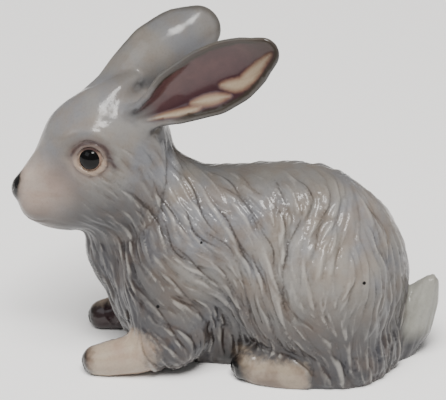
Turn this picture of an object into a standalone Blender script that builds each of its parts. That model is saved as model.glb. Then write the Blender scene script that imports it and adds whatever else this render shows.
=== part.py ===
"""A glazed hare figurine, crouching with its ears laid back, cast in one piece with a flat underside.

The hare faces -Y, its left side is +X, and it stands on Z = 0. Run it in Blender 4.5.
It is made the way a modeller works clay: simple masses are blended into one skin, creases are carved
along the lie of the coat, and the fine mesh is then reduced to a light solid.
"""

import math

import bmesh
import bpy
import numpy as np
from mathutils import Matrix

# Driving dimension, in metres. Every form below is written in millimetres of a hare 304 mm long and
# follows this length.
LENGTH = 0.304
DRAWN_LENGTH = 304.0
TO_METRES = LENGTH / DRAWN_LENGTH

# How closely the skin is built, in millimetres of the drawn hare, and how light the solid ends up.
ROUGH_VOXEL = 2.4
SKIN_VOXEL = 1.9
RELAX_ROUNDS = 4
RELAX_SHARE = 0.6  # how much of the way to its neighbours' middle a point slides in one round
BEADS = 7  # balls along each part of a limb in the rough blank
TRIANGLES = 9400
FLAT_WITHIN = 0.7
FOOT_EDGE = 2.0

GLAZE_COLOUR = (0.46, 0.45, 0.43, 1.0)
GLAZE_ROUGHNESS = 0.22

# Masses: name, centre, radii, pitch and yaw in degrees, paired or not, and how widely it blends.
TORSO = [
    ("ribcage", (0, 2, 80), (44, 76, 63), 0, 0, False, 0),
    ("loin", (0, 54, 78), (48, 60, 66), -4, 0, False, 20),
    ("rump", (0, 82, 57), (48, 48, 61), 0, 0, False, 18),
    ("chest", (0, -46, 70), (35, 39, 62), 12, 0, False, 22),
    ("nape", (0, -50, 117), (24, 29, 38), 24, 0, False, 18),
    ("throat", (0, -76, 89), (22, 24, 34), 10, 0, False, 14),
    ("shoulder", (29, -34, 71), (18, 33, 48), 12, 4, True, 14),
    ("haunch", (38, 60, 55), (27, 50, 52), -14, -4, True, 12),
    ("flank", (10, 10, 24), (21, 66, 36), 0, 0, True, 16),
    ("hind_foot", (46, 45, 8), (17, 43, 17), 2, -6, True, 5),
    ("hock", (42, 84, 12), (21, 26, 24), 0, 0, True, 10),
    ("rear_base", (22, 98, 12), (26, 25, 26), 0, 0, True, 10),
    ("upper_arm", (33, -41, 32), (16, 24, 26), -10, 0, True, 12),
    ("tail_root", (0, 116, 10), (22, 22, 30), 0, 0, False, 10),
]

# The head, in its own frame: origin in the middle of the skull, nose towards -Y.
HEAD_AT = (0, -92, 150.5)
HEAD_YAW = 8.0
HEAD_PITCH = 0.0
HEAD = [
    ("skull", (0, 5, 10), (30, 40, 39), 0, 0, False, 0),
    ("occiput", (0, 29, 8), (24, 25, 33), -16, 0, False, 12),
    ("cheek", (16, 14, -15), (17, 31, 34), -14, 0, True, 10),
    ("muzzle", (0, -26, -25), (17, 29, 26), 0, 0, False, 12),
    ("jaw", (0, -8, -32), (19, 28, 19), 0, 0, False, 12),
    ("lips", (7, -42, -29), (8, 10, 11), 0, 0, True, 6),
    ("brow", (19, -4, 21), (9, 17, 8), 10, 0, True, 10),
    ("nose", (0, -52.5, -20), (6, 5, 7), 20, 0, False, 3),
]
BRIDGE = [((0, -16, 16), 16), ((0, -48, -18), 7)]
BRIDGE_BLEND = 10

# The eyes, each a ball in a shallow socket with a lid round it.
EYE_AT = (23.5, -3.6, 10.2)
EYE_LOOKS = (0.93, -0.33, 0.12)
EYE_RADIUS = 9.5
FACE_LEVEL = 5.5  # how far out the face lies from the middle of the ball
SOCKET_RADIUS = 40.0
SOCKET_DEPTH = 2.2
SOCKET_BLEND = 4
LID_RING = (10.4, 9.2)
LID_RISE = 4.4
LID_THICK = 2.1
LID_BLEND = 2.5

# Limbs drawn as tapering tubes: points of the middle line and the radius at each.
FORELEG = [
    ((34, -36, 25), 17),
    ((35.5, -62, 15), 14.5),
    ((35.5, -84, 10.5), 12.5),
    ((35, -92, 9), 11),
]
TAIL = [((0, 117, 6), 18.5), ((0, 131, 22), 18), ((0, 139.5, 38), 13), ((0, 147, 54), 5.5)]
LIMB_BLEND = 9
TAIL_BLEND = 7
HEAD_BLEND = 10

# Ears: root, tip, which way the hollow faces, the lengthwise bow, and the outline of the ear laid flat. The
# outline is a row of discs: share of the length, radius, and how far off the middle line. The leaf is then
# curled about its length, by half the angle that EAR_CURL gives at each share of the length.
EAR_WALL = 5.6
EAR_WALL_TAPER = 0.3
EAR_RIM = 3.0  # width over which the wall thins towards the rim
EAR_BLEND = 9
EAR_ROOM = 45.0  # how far round an ear its own form is worked out
EARS = {
    "left": dict(
        root=(15, -54, 188),
        tip=(37, 33, 245),
        opening=(0.93, -0.15, 0.15),
        bow=5.0,
        discs=[(0.0, 12, 3), (0.1, 14.5, 3.5), (0.24, 21, 4), (0.48, 24, 0.5), (0.62, 22.5, 0),
               (0.74, 18.5, 0), (0.88, 10.5, 0)],
    ),
    "right": dict(
        root=(-15, -80, 192),
        tip=(-35, -8, 243),
        opening=(-0.88, -0.2, -0.35),
        bow=8.0,
        discs=[(0.0, 17, 0), (0.2, 21.5, -1.5), (0.45, 24.5, -2.5), (0.65, 22.5, -2), (0.81, 16, 0)],
    ),
}
EAR_CURL = [(0.0, 75), (0.3, 55), (0.6, 42), (1.0, 30)]
EAR_STEM = [(-0.12, 12), (0.06, 10), (0.2, 5)]
STEM_SUNK = 0.75  # how far behind the leaf the stem lies, over its radius
STEM_BLEND = 5

# The coat: where on the flank (y, z), and which way (y, z) the hair lies there.
LIE = [
    ((-84, 80), (0.2, -1.0)),
    ((-60, 80), (0.55, -0.8)),
    ((-54, 62), (0.75, -0.75)),
    ((-37, 52), (0.8, -0.7)),
    ((-8, 26), (0.1, -1.0)),
    ((-37, 154), (0.5, -0.9)),
    ((-30, 122), (0.45, -0.9)),
    ((-15, 110), (0.7, -0.7)),
    ((-19, 90), (1.0, -0.5)),
    ((13, 110), (0.7, -0.75)),
    ((20, 86), (0.35, -1.0)),
    ((34, 68), (0.5, -1.0)),
    ((38, 100), (0.1, -1.0)),
    ((9, 142), (0.7, -0.6)),
    ((51, 142), (0.5, -0.8)),
    ((56, 108), (-0.6, -0.8)),
    ((74, 112), (-0.45, -0.85)),
    ((51, 80), (0.1, -1.0)),
    ((86, 68), (-0.6, -0.8)),
    ((108, 62), (-0.55, -0.85)),
    ((90, 46), (-0.1, -1.0)),
    ((102, 104), (0.4, -1.0)),
    ((120, 78), (0.1, -1.0)),
    ((118, 42), (-0.3, -1.0)),
    ((44, 55), (0.6, -0.8)),
    ((66, 42), (0.85, -0.5)),
    ((76, 20), (0.3, -1.0)),
    ((25, 30), (0.7, -0.75)),
    ((-118, 140), (1.0, 0.0)),
    ((-86, 134), (0.75, -0.65)),
    ((-104, 112), (0.9, -0.3)),
    ((-76, 168), (1.0, -0.2)),
    ((-54, 168), (0.95, -0.5)),
    ((-62, 152), (0.8, -0.65)),
    ((-46, 154), (0.15, -1.0)),
    ((-72, 140), (0.7, -0.75)),
    ((-56, 132), (0.3, -0.95)),
    ((-61, 188), (0.9, -0.4)),
    ((-110, 188), (0.7, 0.6)),
    ((-78, 44), (0.1, -1.0)),
    ((-104, 6), (-1.0, -0.2)),
    ((32, 16), (-1.0, -0.1)),
]
LIE_REACH = 14.0
PARTING = 0.5  # how strongly the hair falls to either side of the spine
TRACE_STEPS = 14

# Locks of fur, each the edge of one lock over the next: how far apart they start, their length, how
# deep they are cut, how wide the bank behind the cut is, and how much they wave.
BOLD_LOCKS = dict(seed=3, apart=16.0, length=(34, 62), depth=(1.8, 2.6), width=(4.5, 6.5), wave=0.30)
LOCK_BOX = ((-66, -112, 4), (66, 140, 190))
SCATTER_TRIES = 9000
NEAR_SKIN = 8.0
BANK = 0.55  # height of the bank over the depth of the cut
CUT_WIDTH = 0.5  # width of the cut over that of the bank
EDGE_SHARPNESS = 0.36  # width of the step between them over that of the bank
DEEPEST = 3.2
STROKE_REACH = 3.5  # how far a stroke works, over its width
FOOT_CLEAR = 3.0  # height over which the carving grows from nothing at the ground

# Share of the full depth that the coat is carved to, where it is less.
COAT_DEPTH = dict(head=0.15, cheek=0.5, paws=0.15, feet=0.15, tail=0.4, back=0.55)

# Folds that the form needs, on both flanks: points (y, z), depth and width.
FOLDS = {
    "cheek": ([(-44, 168), (-42, 156), (-43, 137), (-50, 118), (-64, 106)], 1.8, 4.5),
    "haunch_front": ([(6, 98), (12, 72), (16, 50), (25, 34), (40, 26)], 3.4, 8.0),
    "haunch_mid": ([(30, 92), (34, 80), (43, 63), (56, 52), (66, 46)], 2.2, 5.0),
    "thigh": ([(44, 62), (60, 48), (71, 38), (74, 26), (88, 14)], 2.6, 6.0),
    "foot_top": ([(12, 22), (26, 27), (42, 24), (56, 16), (62, 5)], 2.8, 5.0),
    "elbow": ([(-66, 42), (-50, 34), (-34, 22), (-26, 8)], 1.8, 5.0),
    "arm": ([(-10, 48), (-14, 36), (-10, 24), (-12, 12)], 1.8, 5.0),
}
# Creases of the face in the head's frame, left side: points, depth and width.
FACE_FOLDS = {
    "lip": ([(0, -57, -27), (0, -54, -34), (6, -49, -38), (12, -40, -41), (16, -30, -40)], 1.2, 2.4),
    "nostril": ([(1.5, -60, -23), (4.5, -58, -19), (6.5, -53, -14)], 1.0, 1.6),
}
# Creases round the eye: points (towards the nose, up), depth and width.
EYE_FOLDS = {
    "upper_lid": ([(19, -5), (13, 3), (6, 11), (-3, 13), (-12, 8), (-17, 2)], 1.1, 2.2),
    "lower_lid": ([(14, -6), (7, -11.5), (-2, -12.5), (-10, -8)], 0.6, 2.0),
}
TOE_GAP = 5.5
TOE_DEPTH = 1.5
TOE_WIDTH = 2.2
FOREPAW = (35, -100)  # middle of the paw and its tip, on the ground
HINDPAW = (43, 10)
TOE_TOP = 13.0
FAR_OUT = 100.0  # how far off a line starts on its way to the skin


def smooth_union(a, b, width):
    if width <= 0:
        return np.minimum(a, b)
    share = np.maximum(width - np.abs(a - b), 0) / width
    return np.minimum(a, b) - share * share * width / 4


def smooth_cut(a, b, width):
    """What is left of a where b is taken away."""
    return -smooth_union(-a, b, width)


def turned(pitch, yaw):
    """Rotation matrix: pitch lifts the front, yaw turns the front towards +X."""
    matrix = Matrix.Rotation(math.radians(yaw), 3, "Z") @ Matrix.Rotation(math.radians(-pitch), 3, "X")
    return np.array(matrix)


def ellipsoid(points, centre, radii, matrix):
    local = (points - centre) @ matrix
    scaled = local / radii
    reach = np.linalg.norm(scaled, axis=1)
    slope = np.linalg.norm(scaled / radii, axis=1)
    return reach * (reach - 1) / np.maximum(slope, 1e-9)


def tube(points, line):
    """Distance to a chain of tapering segments with round ends, in a plane or in space."""
    best = np.full(len(points), 1e9)
    for (start, start_radius), (end, end_radius) in zip(line, line[1:]):
        start, end = np.array(start, float), np.array(end, float)
        length = np.linalg.norm(end - start)
        taper = (end_radius - start_radius) / length
        along = (points - start) @ (end - start) / length
        off = np.sqrt(np.maximum(((points - start) ** 2).sum(axis=1) - along**2, 0))
        foot = np.clip(along + off * taper / math.sqrt(1 - taper**2), 0, length)
        best = np.minimum(best, np.hypot(along - foot, off) - start_radius - taper * foot)
    return best


def mirrored(line):
    return [((-x, y, z), radius) for (x, y, z), radius in line]


def placed(mass):
    """The one or two ellipsoids that a row of the tables stands for."""
    _, (x, y, z), radii, pitch, yaw, paired, blend = mass
    yield np.array((x, y, z), float), np.array(radii, float), turned(pitch, yaw), blend
    if paired:
        yield np.array((-x, y, z), float), np.array(radii, float), turned(pitch, -yaw), blend


def blended(points, masses):
    total = None
    for mass in masses:
        for centre, radii, matrix, blend in placed(mass):
            shape = ellipsoid(points, centre, radii, matrix)
            total = shape if total is None else smooth_union(total, shape, blend)
    return total


def head_frame():
    return np.array(HEAD_AT, float), turned(HEAD_PITCH, HEAD_YAW)


def eye_frame(side):
    """Centre of an eye in the head's frame, and its axes: outwards, towards the nose and up."""
    out = np.array(EYE_LOOKS) * (side, 1, 1)
    out /= np.linalg.norm(out)
    up = np.array((0.0, 0.0, 1.0))
    up -= (up @ out) * out
    up /= np.linalg.norm(up)
    fore = np.cross(up, out) * side
    return np.array(EYE_AT) * (side, 1, 1), np.stack([out, fore, up], axis=1)


def eye(local, shape, side):
    """The socket, the ring of the lids and the ball, worked into the head."""
    centre, axes = eye_frame(side)
    out, fore, up = ((local - centre) @ axes).T
    middle = FACE_LEVEL + SOCKET_RADIUS - SOCKET_DEPTH
    socket = np.sqrt((out - middle) ** 2 + fore**2 + up**2) - SOCKET_RADIUS
    shape = smooth_cut(shape, socket, SOCKET_BLEND)
    wide, high = LID_RING
    ring = np.sqrt((fore / wide) ** 2 + (up / high) ** 2)
    ring = np.sqrt(((ring - 1) * (wide + high) / 2) ** 2 + (out - LID_RISE) ** 2) - LID_THICK
    shape = smooth_union(shape, ring, LID_BLEND)
    ball = np.sqrt(out**2 + fore**2 + up**2) - EYE_RADIUS
    return np.minimum(shape, ball)


def head(points):
    at, matrix = head_frame()
    local = (points - at) @ matrix
    shape = blended(local, HEAD)
    shape = smooth_union(shape, tube(local, BRIDGE), BRIDGE_BLEND)
    for side in (1, -1):
        shape = eye(local, shape, side)
    return shape


def ear_axes(shape):
    """Unit vectors along the ear, across it and out of its opening, and its length."""
    along = np.array(shape["tip"], float) - np.array(shape["root"], float)
    length = np.linalg.norm(along)
    along /= length
    out = np.array(shape["opening"], float)
    out -= (out @ along) * along
    out /= np.linalg.norm(out)
    return along, np.cross(out, along), out, length


def ear_local(points, shape):
    along, across, out, length = ear_axes(shape)
    offset = points - np.array(shape["root"], float)
    return offset @ along, offset @ across, offset @ out, length


def ear_edges(share, shape, length):
    """Middle and half width of the ear, laid flat, at a share of its length, its wall included."""
    shares, radii, offsets = zip(*shape["discs"])
    beyond = np.maximum(np.maximum(shares[0] - share, share - shares[-1]) * length, 0)
    radius = np.interp(share, shares, radii) + ear_wall(share)
    return np.interp(share, shares, offsets), np.sqrt(np.maximum(radius**2 - beyond**2, 0))


def ear_curl(share, shape, length):
    """Radius of the curl at a share of the length, and how far its middle is from the ear's chord."""
    half_angle = np.radians(np.interp(share, *zip(*EAR_CURL)))
    shares, radii, _ = zip(*shape["discs"])
    radius = np.interp(share, shares, radii) / half_angle
    inside = np.clip(share, 0, 1)
    floor = -4 * shape["bow"] * inside * (1 - inside) - radius * (1 - np.cos(half_angle)) / 2
    return radius, floor + radius


def ear_wall(share):
    return EAR_WALL / 2 * (1 + EAR_WALL_TAPER * (0.5 - np.clip(share, 0, 1)))


def ear_stem(shape):
    """The ear's root as a tube behind the hollow."""
    along, _, out, length = ear_axes(shape)
    root = np.array(shape["root"], float)
    stem = []
    for share, radius in EAR_STEM:
        curl, middle = ear_curl(share, shape, length)
        back = middle - curl - radius * STEM_SUNK
        stem.append((tuple(root + along * share * length + out * back), radius))
    return stem


def off_outline(along, across, shape, length):
    """Distance outside the ear's outline on the ear laid flat, growing softly from nothing inside it."""
    line = [((share * length, offset), radius) for share, radius, offset in shape["discs"]]
    beyond = tube(np.stack([along, across], axis=1), line)
    return (np.hypot(beyond, EAR_RIM) + beyond) / 2


def ear(points, shape):
    u, v, w, length = ear_local(points, shape)
    curl, middle = ear_curl(u / length, shape, length)
    off_sheet = np.hypot(v, w - middle) - curl
    flat = curl * np.arctan2(v, middle - w)
    leaf = np.hypot(off_outline(u, flat, shape, length), off_sheet) - ear_wall(u / length)
    return smooth_union(leaf, tube(points, ear_stem(shape)), STEM_BLEND)


def near_ear(points, shape):
    """Which points are close enough to an ear for it to matter."""
    u, v, w, length = ear_local(points, shape)
    return (np.abs(u - length / 2) < length / 2 + EAR_ROOM) & (np.abs(v) < EAR_ROOM) & (np.abs(w) < EAR_ROOM)


def hare(points):
    """Signed distance, roughly, to the smooth skin of the hare, negative inside."""
    body = blended(points, TORSO)
    for line in (FORELEG, mirrored(FORELEG)):
        body = smooth_union(body, tube(points, line), LIMB_BLEND)
    body = smooth_union(body, tube(points, TAIL), TAIL_BLEND)
    body = smooth_union(body, head(points), HEAD_BLEND)
    for shape in EARS.values():
        close = near_ear(points, shape)
        body[close] = smooth_union(body[close], ear(points[close], shape), EAR_BLEND)
    return smooth_cut(body, points[:, 2], FOOT_EDGE)


def outward(points, step=0.35):
    """Unit normals of the skin and its value at the points."""
    value = hare(points)
    slope = np.empty_like(points)
    for axis in range(3):
        shifted = points.copy()
        shifted[:, axis] += step
        slope[:, axis] = (hare(shifted) - value) / step
    size = np.maximum(np.linalg.norm(slope, axis=1), 1e-6)
    return slope / size[:, None], value, size


def settled(points, rounds=4, most=3.0):
    """The points moved onto the skin."""
    for _ in range(rounds):
        normal, value, size = outward(points)
        points = points - normal * np.clip(value / size, -most, most)[:, None]
    return points


def evened(mesh, points, rounds):
    """The points slid along the skin towards the middle of their neighbours."""
    for _ in range(rounds):
        normal, value, size = outward(points)
        points = points - normal * np.clip(value / size, -1.0, 1.0)[:, None]
        slide = neighbour_means(mesh, points) - points
        slide -= (slide * normal).sum(axis=1, keepdims=True) * normal
        points = points + slide * RELAX_SHARE
    return settled(points, 1)


def rough_blank(collection):
    """All the masses as plain balls and leaves in one mesh, for the voxel remesh to weld."""
    blank = bmesh.new()

    def ball(centre, radii, matrix):
        place = Matrix.Translation(centre) @ Matrix(matrix.tolist()).to_4x4()
        place = place @ Matrix.Diagonal((*radii, 1))
        bmesh.ops.create_icosphere(blank, subdivisions=4, radius=1, matrix=place)

    def beads(line):
        for (start, start_radius), (end, end_radius) in zip(line, line[1:]):
            for share in np.linspace(0, 1, BEADS):
                centre = np.array(start) * (1 - share) + np.array(end) * share
                radius = start_radius * (1 - share) + end_radius * share
                ball(centre, (radius,) * 3, np.eye(3))

    for mass in TORSO:
        for centre, radii, matrix, _ in placed(mass):
            ball(centre, radii, matrix)
    at, facing = head_frame()
    for mass in HEAD:
        for centre, radii, matrix, _ in placed(mass):
            ball(at + facing @ centre, radii, facing @ matrix)
    beads([(tuple(at + facing @ np.array(centre, float)), radius) for centre, radius in BRIDGE])
    for line in (FORELEG, mirrored(FORELEG), TAIL):
        beads(line)
    for shape in EARS.values():
        ear_leaf(blank, shape)
        beads(ear_stem(shape))
    mesh = bpy.data.meshes.new("blank")
    blank.to_mesh(mesh)
    blank.free()
    obj = bpy.data.objects.new("blank", mesh)
    collection.objects.link(obj)
    return obj


def ear_leaf(blank, shape, rows=60, columns=30):
    """A closed leaf that follows the curled ear, for the voxel remesh to weld to the head."""
    along, across, out, length = ear_axes(shape)
    root = np.array(shape["root"], float)
    (first, first_radius, _), (last, last_radius, _) = shape["discs"][0], shape["discs"][-1]
    start = first - (first_radius + ear_wall(first)) / length
    end = last + (last_radius + ear_wall(last)) / length
    spread = -np.cos(np.linspace(0, math.pi, columns))
    layers = []
    for side in (-1, 1):
        grid = []
        for share in start + (end - start) * (1 - np.cos(np.linspace(0, math.pi, rows))) / 2:
            middle, half = ear_edges(share, shape, length)
            flat = middle + spread * half
            off = off_outline(np.full(columns, share * length), flat, shape, length)
            curl, centre = ear_curl(share, shape, length)
            radius = curl + side * np.sqrt(np.maximum(ear_wall(share) ** 2 - off**2, 0))
            places = root + along * share * length
            places = places + np.outer(radius * np.sin(flat / curl), across)
            places = places + np.outer(centre - radius * np.cos(flat / curl), out)
            grid.append([blank.verts.new(place) for place in places])
        layers.append(grid)
    for side, grid in zip((1, -1), layers):
        for upper, lower in zip(grid, grid[1:]):
            for column in range(columns - 1):
                corners = [upper[column], upper[column + 1], lower[column + 1], lower[column]]
                blank.faces.new(corners if side > 0 else corners[::-1])
    inner, outer = layers
    rim = (
        [(row, 0) for row in range(rows)]
        + [(rows - 1, column) for column in range(1, columns)]
        + [(row, columns - 1) for row in range(rows - 2, -1, -1)]
        + [(0, column) for column in range(columns - 2, 0, -1)]
    )
    for (row, column), (next_row, next_column) in zip(rim, rim[1:] + rim[:1]):
        corners = [inner[row][column], inner[next_row][next_column]]
        blank.faces.new(corners + [outer[next_row][next_column], outer[row][column]])


def remeshed(obj, voxel):
    """A new mesh: the object's, welded by Blender's voxel remesh."""
    modifier = obj.modifiers.new("weld_masses", "REMESH")
    modifier.mode = "VOXEL"
    modifier.voxel_size = voxel
    return applied(obj)


def applied(obj):
    graph = bpy.context.evaluated_depsgraph_get()
    mesh = bpy.data.meshes.new_from_object(obj.evaluated_get(graph))
    obj.modifiers.clear()
    return mesh


def vertices(mesh):
    points = np.empty(len(mesh.vertices) * 3)
    mesh.vertices.foreach_get("co", points)
    return points.reshape(-1, 3)


def put(mesh, points):
    mesh.vertices.foreach_set("co", points.astype(np.float32).ravel())
    mesh.update()


def neighbour_means(mesh, points):
    """The mean of each vertex's neighbours."""
    ends = np.empty(len(mesh.edges) * 2, np.int32)
    mesh.edges.foreach_get("vertices", ends)
    a, b = ends.reshape(-1, 2).T
    count = np.bincount(np.concatenate([a, b]), minlength=len(points))
    total = np.stack(
        [
            np.bincount(a, points[b, axis], len(points)) + np.bincount(b, points[a, axis], len(points))
            for axis in range(3)
        ],
        axis=1,
    )
    return total / np.maximum(count, 1)[:, None]


def smooth_skin(collection, voxel):
    """The blended, uncarved hare as a mesh object."""
    obj = rough_blank(collection)
    for size in (ROUGH_VOXEL, voxel):
        obj.data = remeshed(obj, size)
        points = settled(vertices(obj.data), 2)
        put(obj.data, evened(obj.data, points, RELAX_ROUNDS))
    return obj


def unit(vectors):
    return vectors / np.maximum(np.linalg.norm(vectors, axis=-1, keepdims=True), 1e-9)


def lie(points, normal):
    """Which way the hair lies at points of the skin."""
    places, ways = (np.array(column, float) for column in zip(*LIE))
    gap = points[:, None, 1:] - places
    weight = np.exp(-(gap**2).sum(axis=2) / (2 * LIE_REACH**2)) + 1e-9
    way = np.zeros_like(points)
    way[:, 1:] = unit(weight @ ways)
    way[:, 0] = np.sign(points[:, 0]) * PARTING * np.maximum(normal[:, 2], 0)
    way -= (way * normal).sum(axis=1, keepdims=True) * normal
    return unit(way)


def scattered(rng, apart):
    """Points spread over the skin, none nearer another than the given distance."""
    points = rng.uniform(*LOCK_BOX, (SCATTER_TRIES, 3))
    points = points[np.abs(hare(points)) < NEAR_SKIN]
    points = settled(points, 3)
    chosen = np.empty((0, 3))
    for point in points:
        if not len(chosen) or np.min(((chosen - point) ** 2).sum(axis=1)) > apart**2:
            chosen = np.vstack([chosen, point])
    return chosen


def locks(kind):
    """Lines over the skin along the lie of the coat, with the depth and width of each."""
    rng = np.random.default_rng(kind["seed"])
    points = scattered(rng, kind["apart"])
    count = len(points)
    length, depth, width = (rng.uniform(*kind[name], count) for name in ("length", "depth", "width"))
    phase = rng.uniform(0, 2 * math.pi, count)
    lines, normals = [], []
    for step in range(TRACE_STEPS + 1):
        normal, value, size = outward(points)
        points = points - normal * np.clip(value / size, -2, 2)[:, None]
        lines.append(points)
        normals.append(normal)
        way = lie(points, normal)
        swing = kind["wave"] * np.sin(phase + 2 * math.pi * step / TRACE_STEPS)[:, None]
        way = way * np.cos(swing) + np.cross(normal, way) * np.sin(swing)
        points = points + way * (length / TRACE_STEPS)[:, None]
    lines, normals = np.stack(lines, axis=1), np.stack(normals, axis=1)
    amount = coat(lines[:, TRACE_STEPS // 2])
    return [stroke for stroke in zip(lines, normals, depth * amount, width) if stroke[2] > 0.1]


def ramp(value, zero, one):
    """From 0 to 1 as the value goes from one limit to the other."""
    return np.clip((value - zero) / (one - zero), 0, 1)


def coat(points):
    """How deeply the coat is carved at points of the skin, from 0 to 1."""
    at, matrix = head_frame()
    x, y, z = points.T
    legs = np.minimum(tube(points, FORELEG), tube(points, mirrored(FORELEG)))
    local = (points - at) @ matrix
    head = ramp(blended(local, HEAD), 9, 3)
    cheek = ramp(local[:, 1], -14, 8) * ramp(local[:, 2], 24, 12)
    where = {
        "head": head * (1 - cheek),
        "cheek": head * cheek,
        "paws": ramp(legs, 6.5, 1.5) * ramp(y, -52, -66),
        "feet": ramp(z, 26, 18) * ramp(y, 62, 52) * ramp(y, 0, 10),
        "tail": ramp(tube(points, TAIL), 6.5, 1.5),
        "back": ramp(z, 132, 144) * (1 - head),
    }
    amount = np.ones(len(points))
    for shape in EARS.values():
        amount *= ramp(ear(points, shape), 4, 12)
    for place, share in where.items():
        amount *= 1 - (1 - COAT_DEPTH[place]) * share
    return amount


def curve(points, count=TRACE_STEPS + 1):
    """A smooth run of points through a few given ones."""
    points = np.array(points, float)
    given = np.concatenate([[2 * points[0] - points[1]], points, [2 * points[-1] - points[-2]]])
    at = np.linspace(0, len(points) - 1, count)
    first = np.minimum(at.astype(int), len(points) - 2)
    t = (at - first)[:, None]
    a, b, c, d = (given[first + step] for step in range(4))
    return 0.5 * (2 * b + (c - a) * t + (2 * a - 5 * b + 4 * c - d) * t**2 + (3 * b - a - 3 * c + d) * t**3)


def touched(points, way, most=120.0, steps=60, share=0.7):
    """Where points moved along a direction first touch the skin."""
    way, points = np.array(way, float), np.array(points, float)
    gone = np.zeros(len(points))
    for _ in range(steps):
        gone = np.minimum(gone + np.maximum(hare(points + gone[:, None] * way), 0) * share, most)
    return points + gone[:, None] * way


def stroke(points, depth, width):
    normal, _, _ = outward(points)
    return points, normal, depth, width


def folds():
    """The named folds of the body, the face and the paws, as strokes."""
    strokes = []
    for points, depth, width in FOLDS.values():
        for side in (1, -1):
            flank = np.array([(side * FAR_OUT, y, z) for y, z in curve(points)])
            line = touched(flank, (-side, 0, 0))
            strokes.append(stroke(line if side > 0 else line[::-1], depth, width))
    at, matrix = head_frame()
    for points, depth, width in FACE_FOLDS.values():
        for side in (1, -1):
            line = settled(at + (curve(points) * (side, 1, 1)) @ matrix.T)
            strokes.append(stroke(line[::side], depth, width))
    for points, depth, width in EYE_FOLDS.values():
        for side in (1, -1):
            centre, axes = eye_frame(side)
            around = np.array([(FACE_LEVEL, fore, up) for fore, up in curve(points)])
            line = settled(at + (centre + around @ axes.T) @ matrix.T)
            strokes.append(stroke(line[::side], depth, width))
    for side in (1, -1):
        for middle, tip in (FOREPAW, HINDPAW):
            for offset in (-0.5, 0.5):
                x = side * (middle + offset * TOE_GAP)
                heights = np.linspace(TOE_TOP, 1, TRACE_STEPS + 1)
                down = np.array([(x, tip - FAR_OUT / 2, z) for z in heights])
                strokes.append(stroke(touched(down, (0, 1, 0)), TOE_DEPTH, TOE_WIDTH))
    return strokes


def stroke_frame(points, line, normals, reach):
    """For points near a line: signed distance across it, and the share of its length they lie at."""
    edge = line[1:] - line[:-1]
    size = np.maximum((edge**2).sum(axis=1), 1e-9)
    gap = points[:, None, :] - line[:-1]
    share = np.clip((gap * edge).sum(axis=2) / size, 0, 1)
    off = gap - share[..., None] * edge
    nearest = np.argmin((off**2).sum(axis=2), axis=1)
    rows = np.arange(len(points))
    off = off[rows, nearest]
    side = unit(np.cross(normals[:-1], edge))[nearest]
    flat = off - (off * normals[:-1][nearest]).sum(axis=1, keepdims=True) * normals[:-1][nearest]
    far = np.abs((off * normals[:-1][nearest]).sum(axis=1)) > reach
    across = np.linalg.norm(flat, axis=1) * np.sign((flat * side).sum(axis=1))
    along = (nearest + share[rows, nearest]) / len(edge)
    return np.where(far, 1e3, across), along


def ledge(across, along, width):
    """Section of a cut: a bank on one side of the line, a groove on the other, fading at both ends."""
    fade = np.sqrt(np.clip(np.sin(math.pi * along), 0, 1))
    bank = np.exp(np.minimum(across, 0) / width) * BANK
    groove = np.exp(-np.maximum(across, 0) / (width * CUT_WIDTH))
    step = np.tanh(across / (width * EDGE_SHARPNESS))
    return -step * np.where(across < 0, bank, groove) * fade


def carved(points, strokes):
    """How far each point of the skin is raised or cut by the strokes."""
    raised = np.zeros(len(points))
    for line, normals, depth, width in strokes:
        reach = width * STROKE_REACH
        low, high = line.min(axis=0) - reach, line.max(axis=0) + reach
        close = np.flatnonzero(((points > low) & (points < high)).all(axis=1))
        across, along = stroke_frame(points[close], line, normals, reach)
        raised[close] += depth * ledge(across, along, width) * (np.abs(across) < reach)
    return DEEPEST * np.tanh(raised / DEEPEST)


def carve(mesh, strokes):
    points = vertices(mesh)
    normal, _, _ = outward(points)
    above = ramp(points[:, 2], 0, FOOT_CLEAR)
    put(mesh, points + normal * (carved(points, strokes) * above)[:, None])


def lightened(obj, triangles):
    """The object's mesh reduced to about so many triangles."""
    modifier = obj.modifiers.new("lighten", "DECIMATE")
    faces = sum(len(face.vertices) - 2 for face in obj.data.polygons)
    modifier.ratio = triangles / faces
    return applied(obj)


def seated(mesh):
    """The underside made exactly flat."""
    points = vertices(mesh)
    points[points[:, 2] < FLAT_WITHIN, 2] = 0
    put(mesh, points)


def glaze():
    material = bpy.data.materials.new("glaze")
    material.use_nodes = True
    shader = material.node_tree.nodes["Principled BSDF"]
    shader.inputs["Base Color"].default_value = GLAZE_COLOUR
    shader.inputs["Roughness"].default_value = GLAZE_ROUGHNESS
    shader.inputs["Metallic"].default_value = 0.0
    return material


def main():
    for obj in list(bpy.data.objects):
        bpy.data.objects.remove(obj)
    collection = bpy.data.collections.new("hare_figurine")
    bpy.context.scene.collection.children.link(collection)
    obj = smooth_skin(collection, SKIN_VOXEL)
    carve(obj.data, folds() + locks(BOLD_LOCKS))
    obj.data = lightened(obj, TRIANGLES)
    seated(obj.data)
    obj.name = obj.data.name = "hare"
    obj.data.materials.append(glaze())
    put(obj.data, vertices(obj.data) * TO_METRES)
    obj.data.shade_smooth()


main()
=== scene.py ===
"""The glazed hare figurine: one fine skin with the carved coat, its eyes, and a plain studio round it.

The skin is built from the same masses, folds and locks as the solid that it stands for, and then carries
the finer strands and hairs. The hare faces -Y, its left side is +X, and it stands on Z = 0.
"""

import math

import bmesh
import bpy
import numpy as np
from mathutils import Matrix, Vector, kdtree


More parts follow.
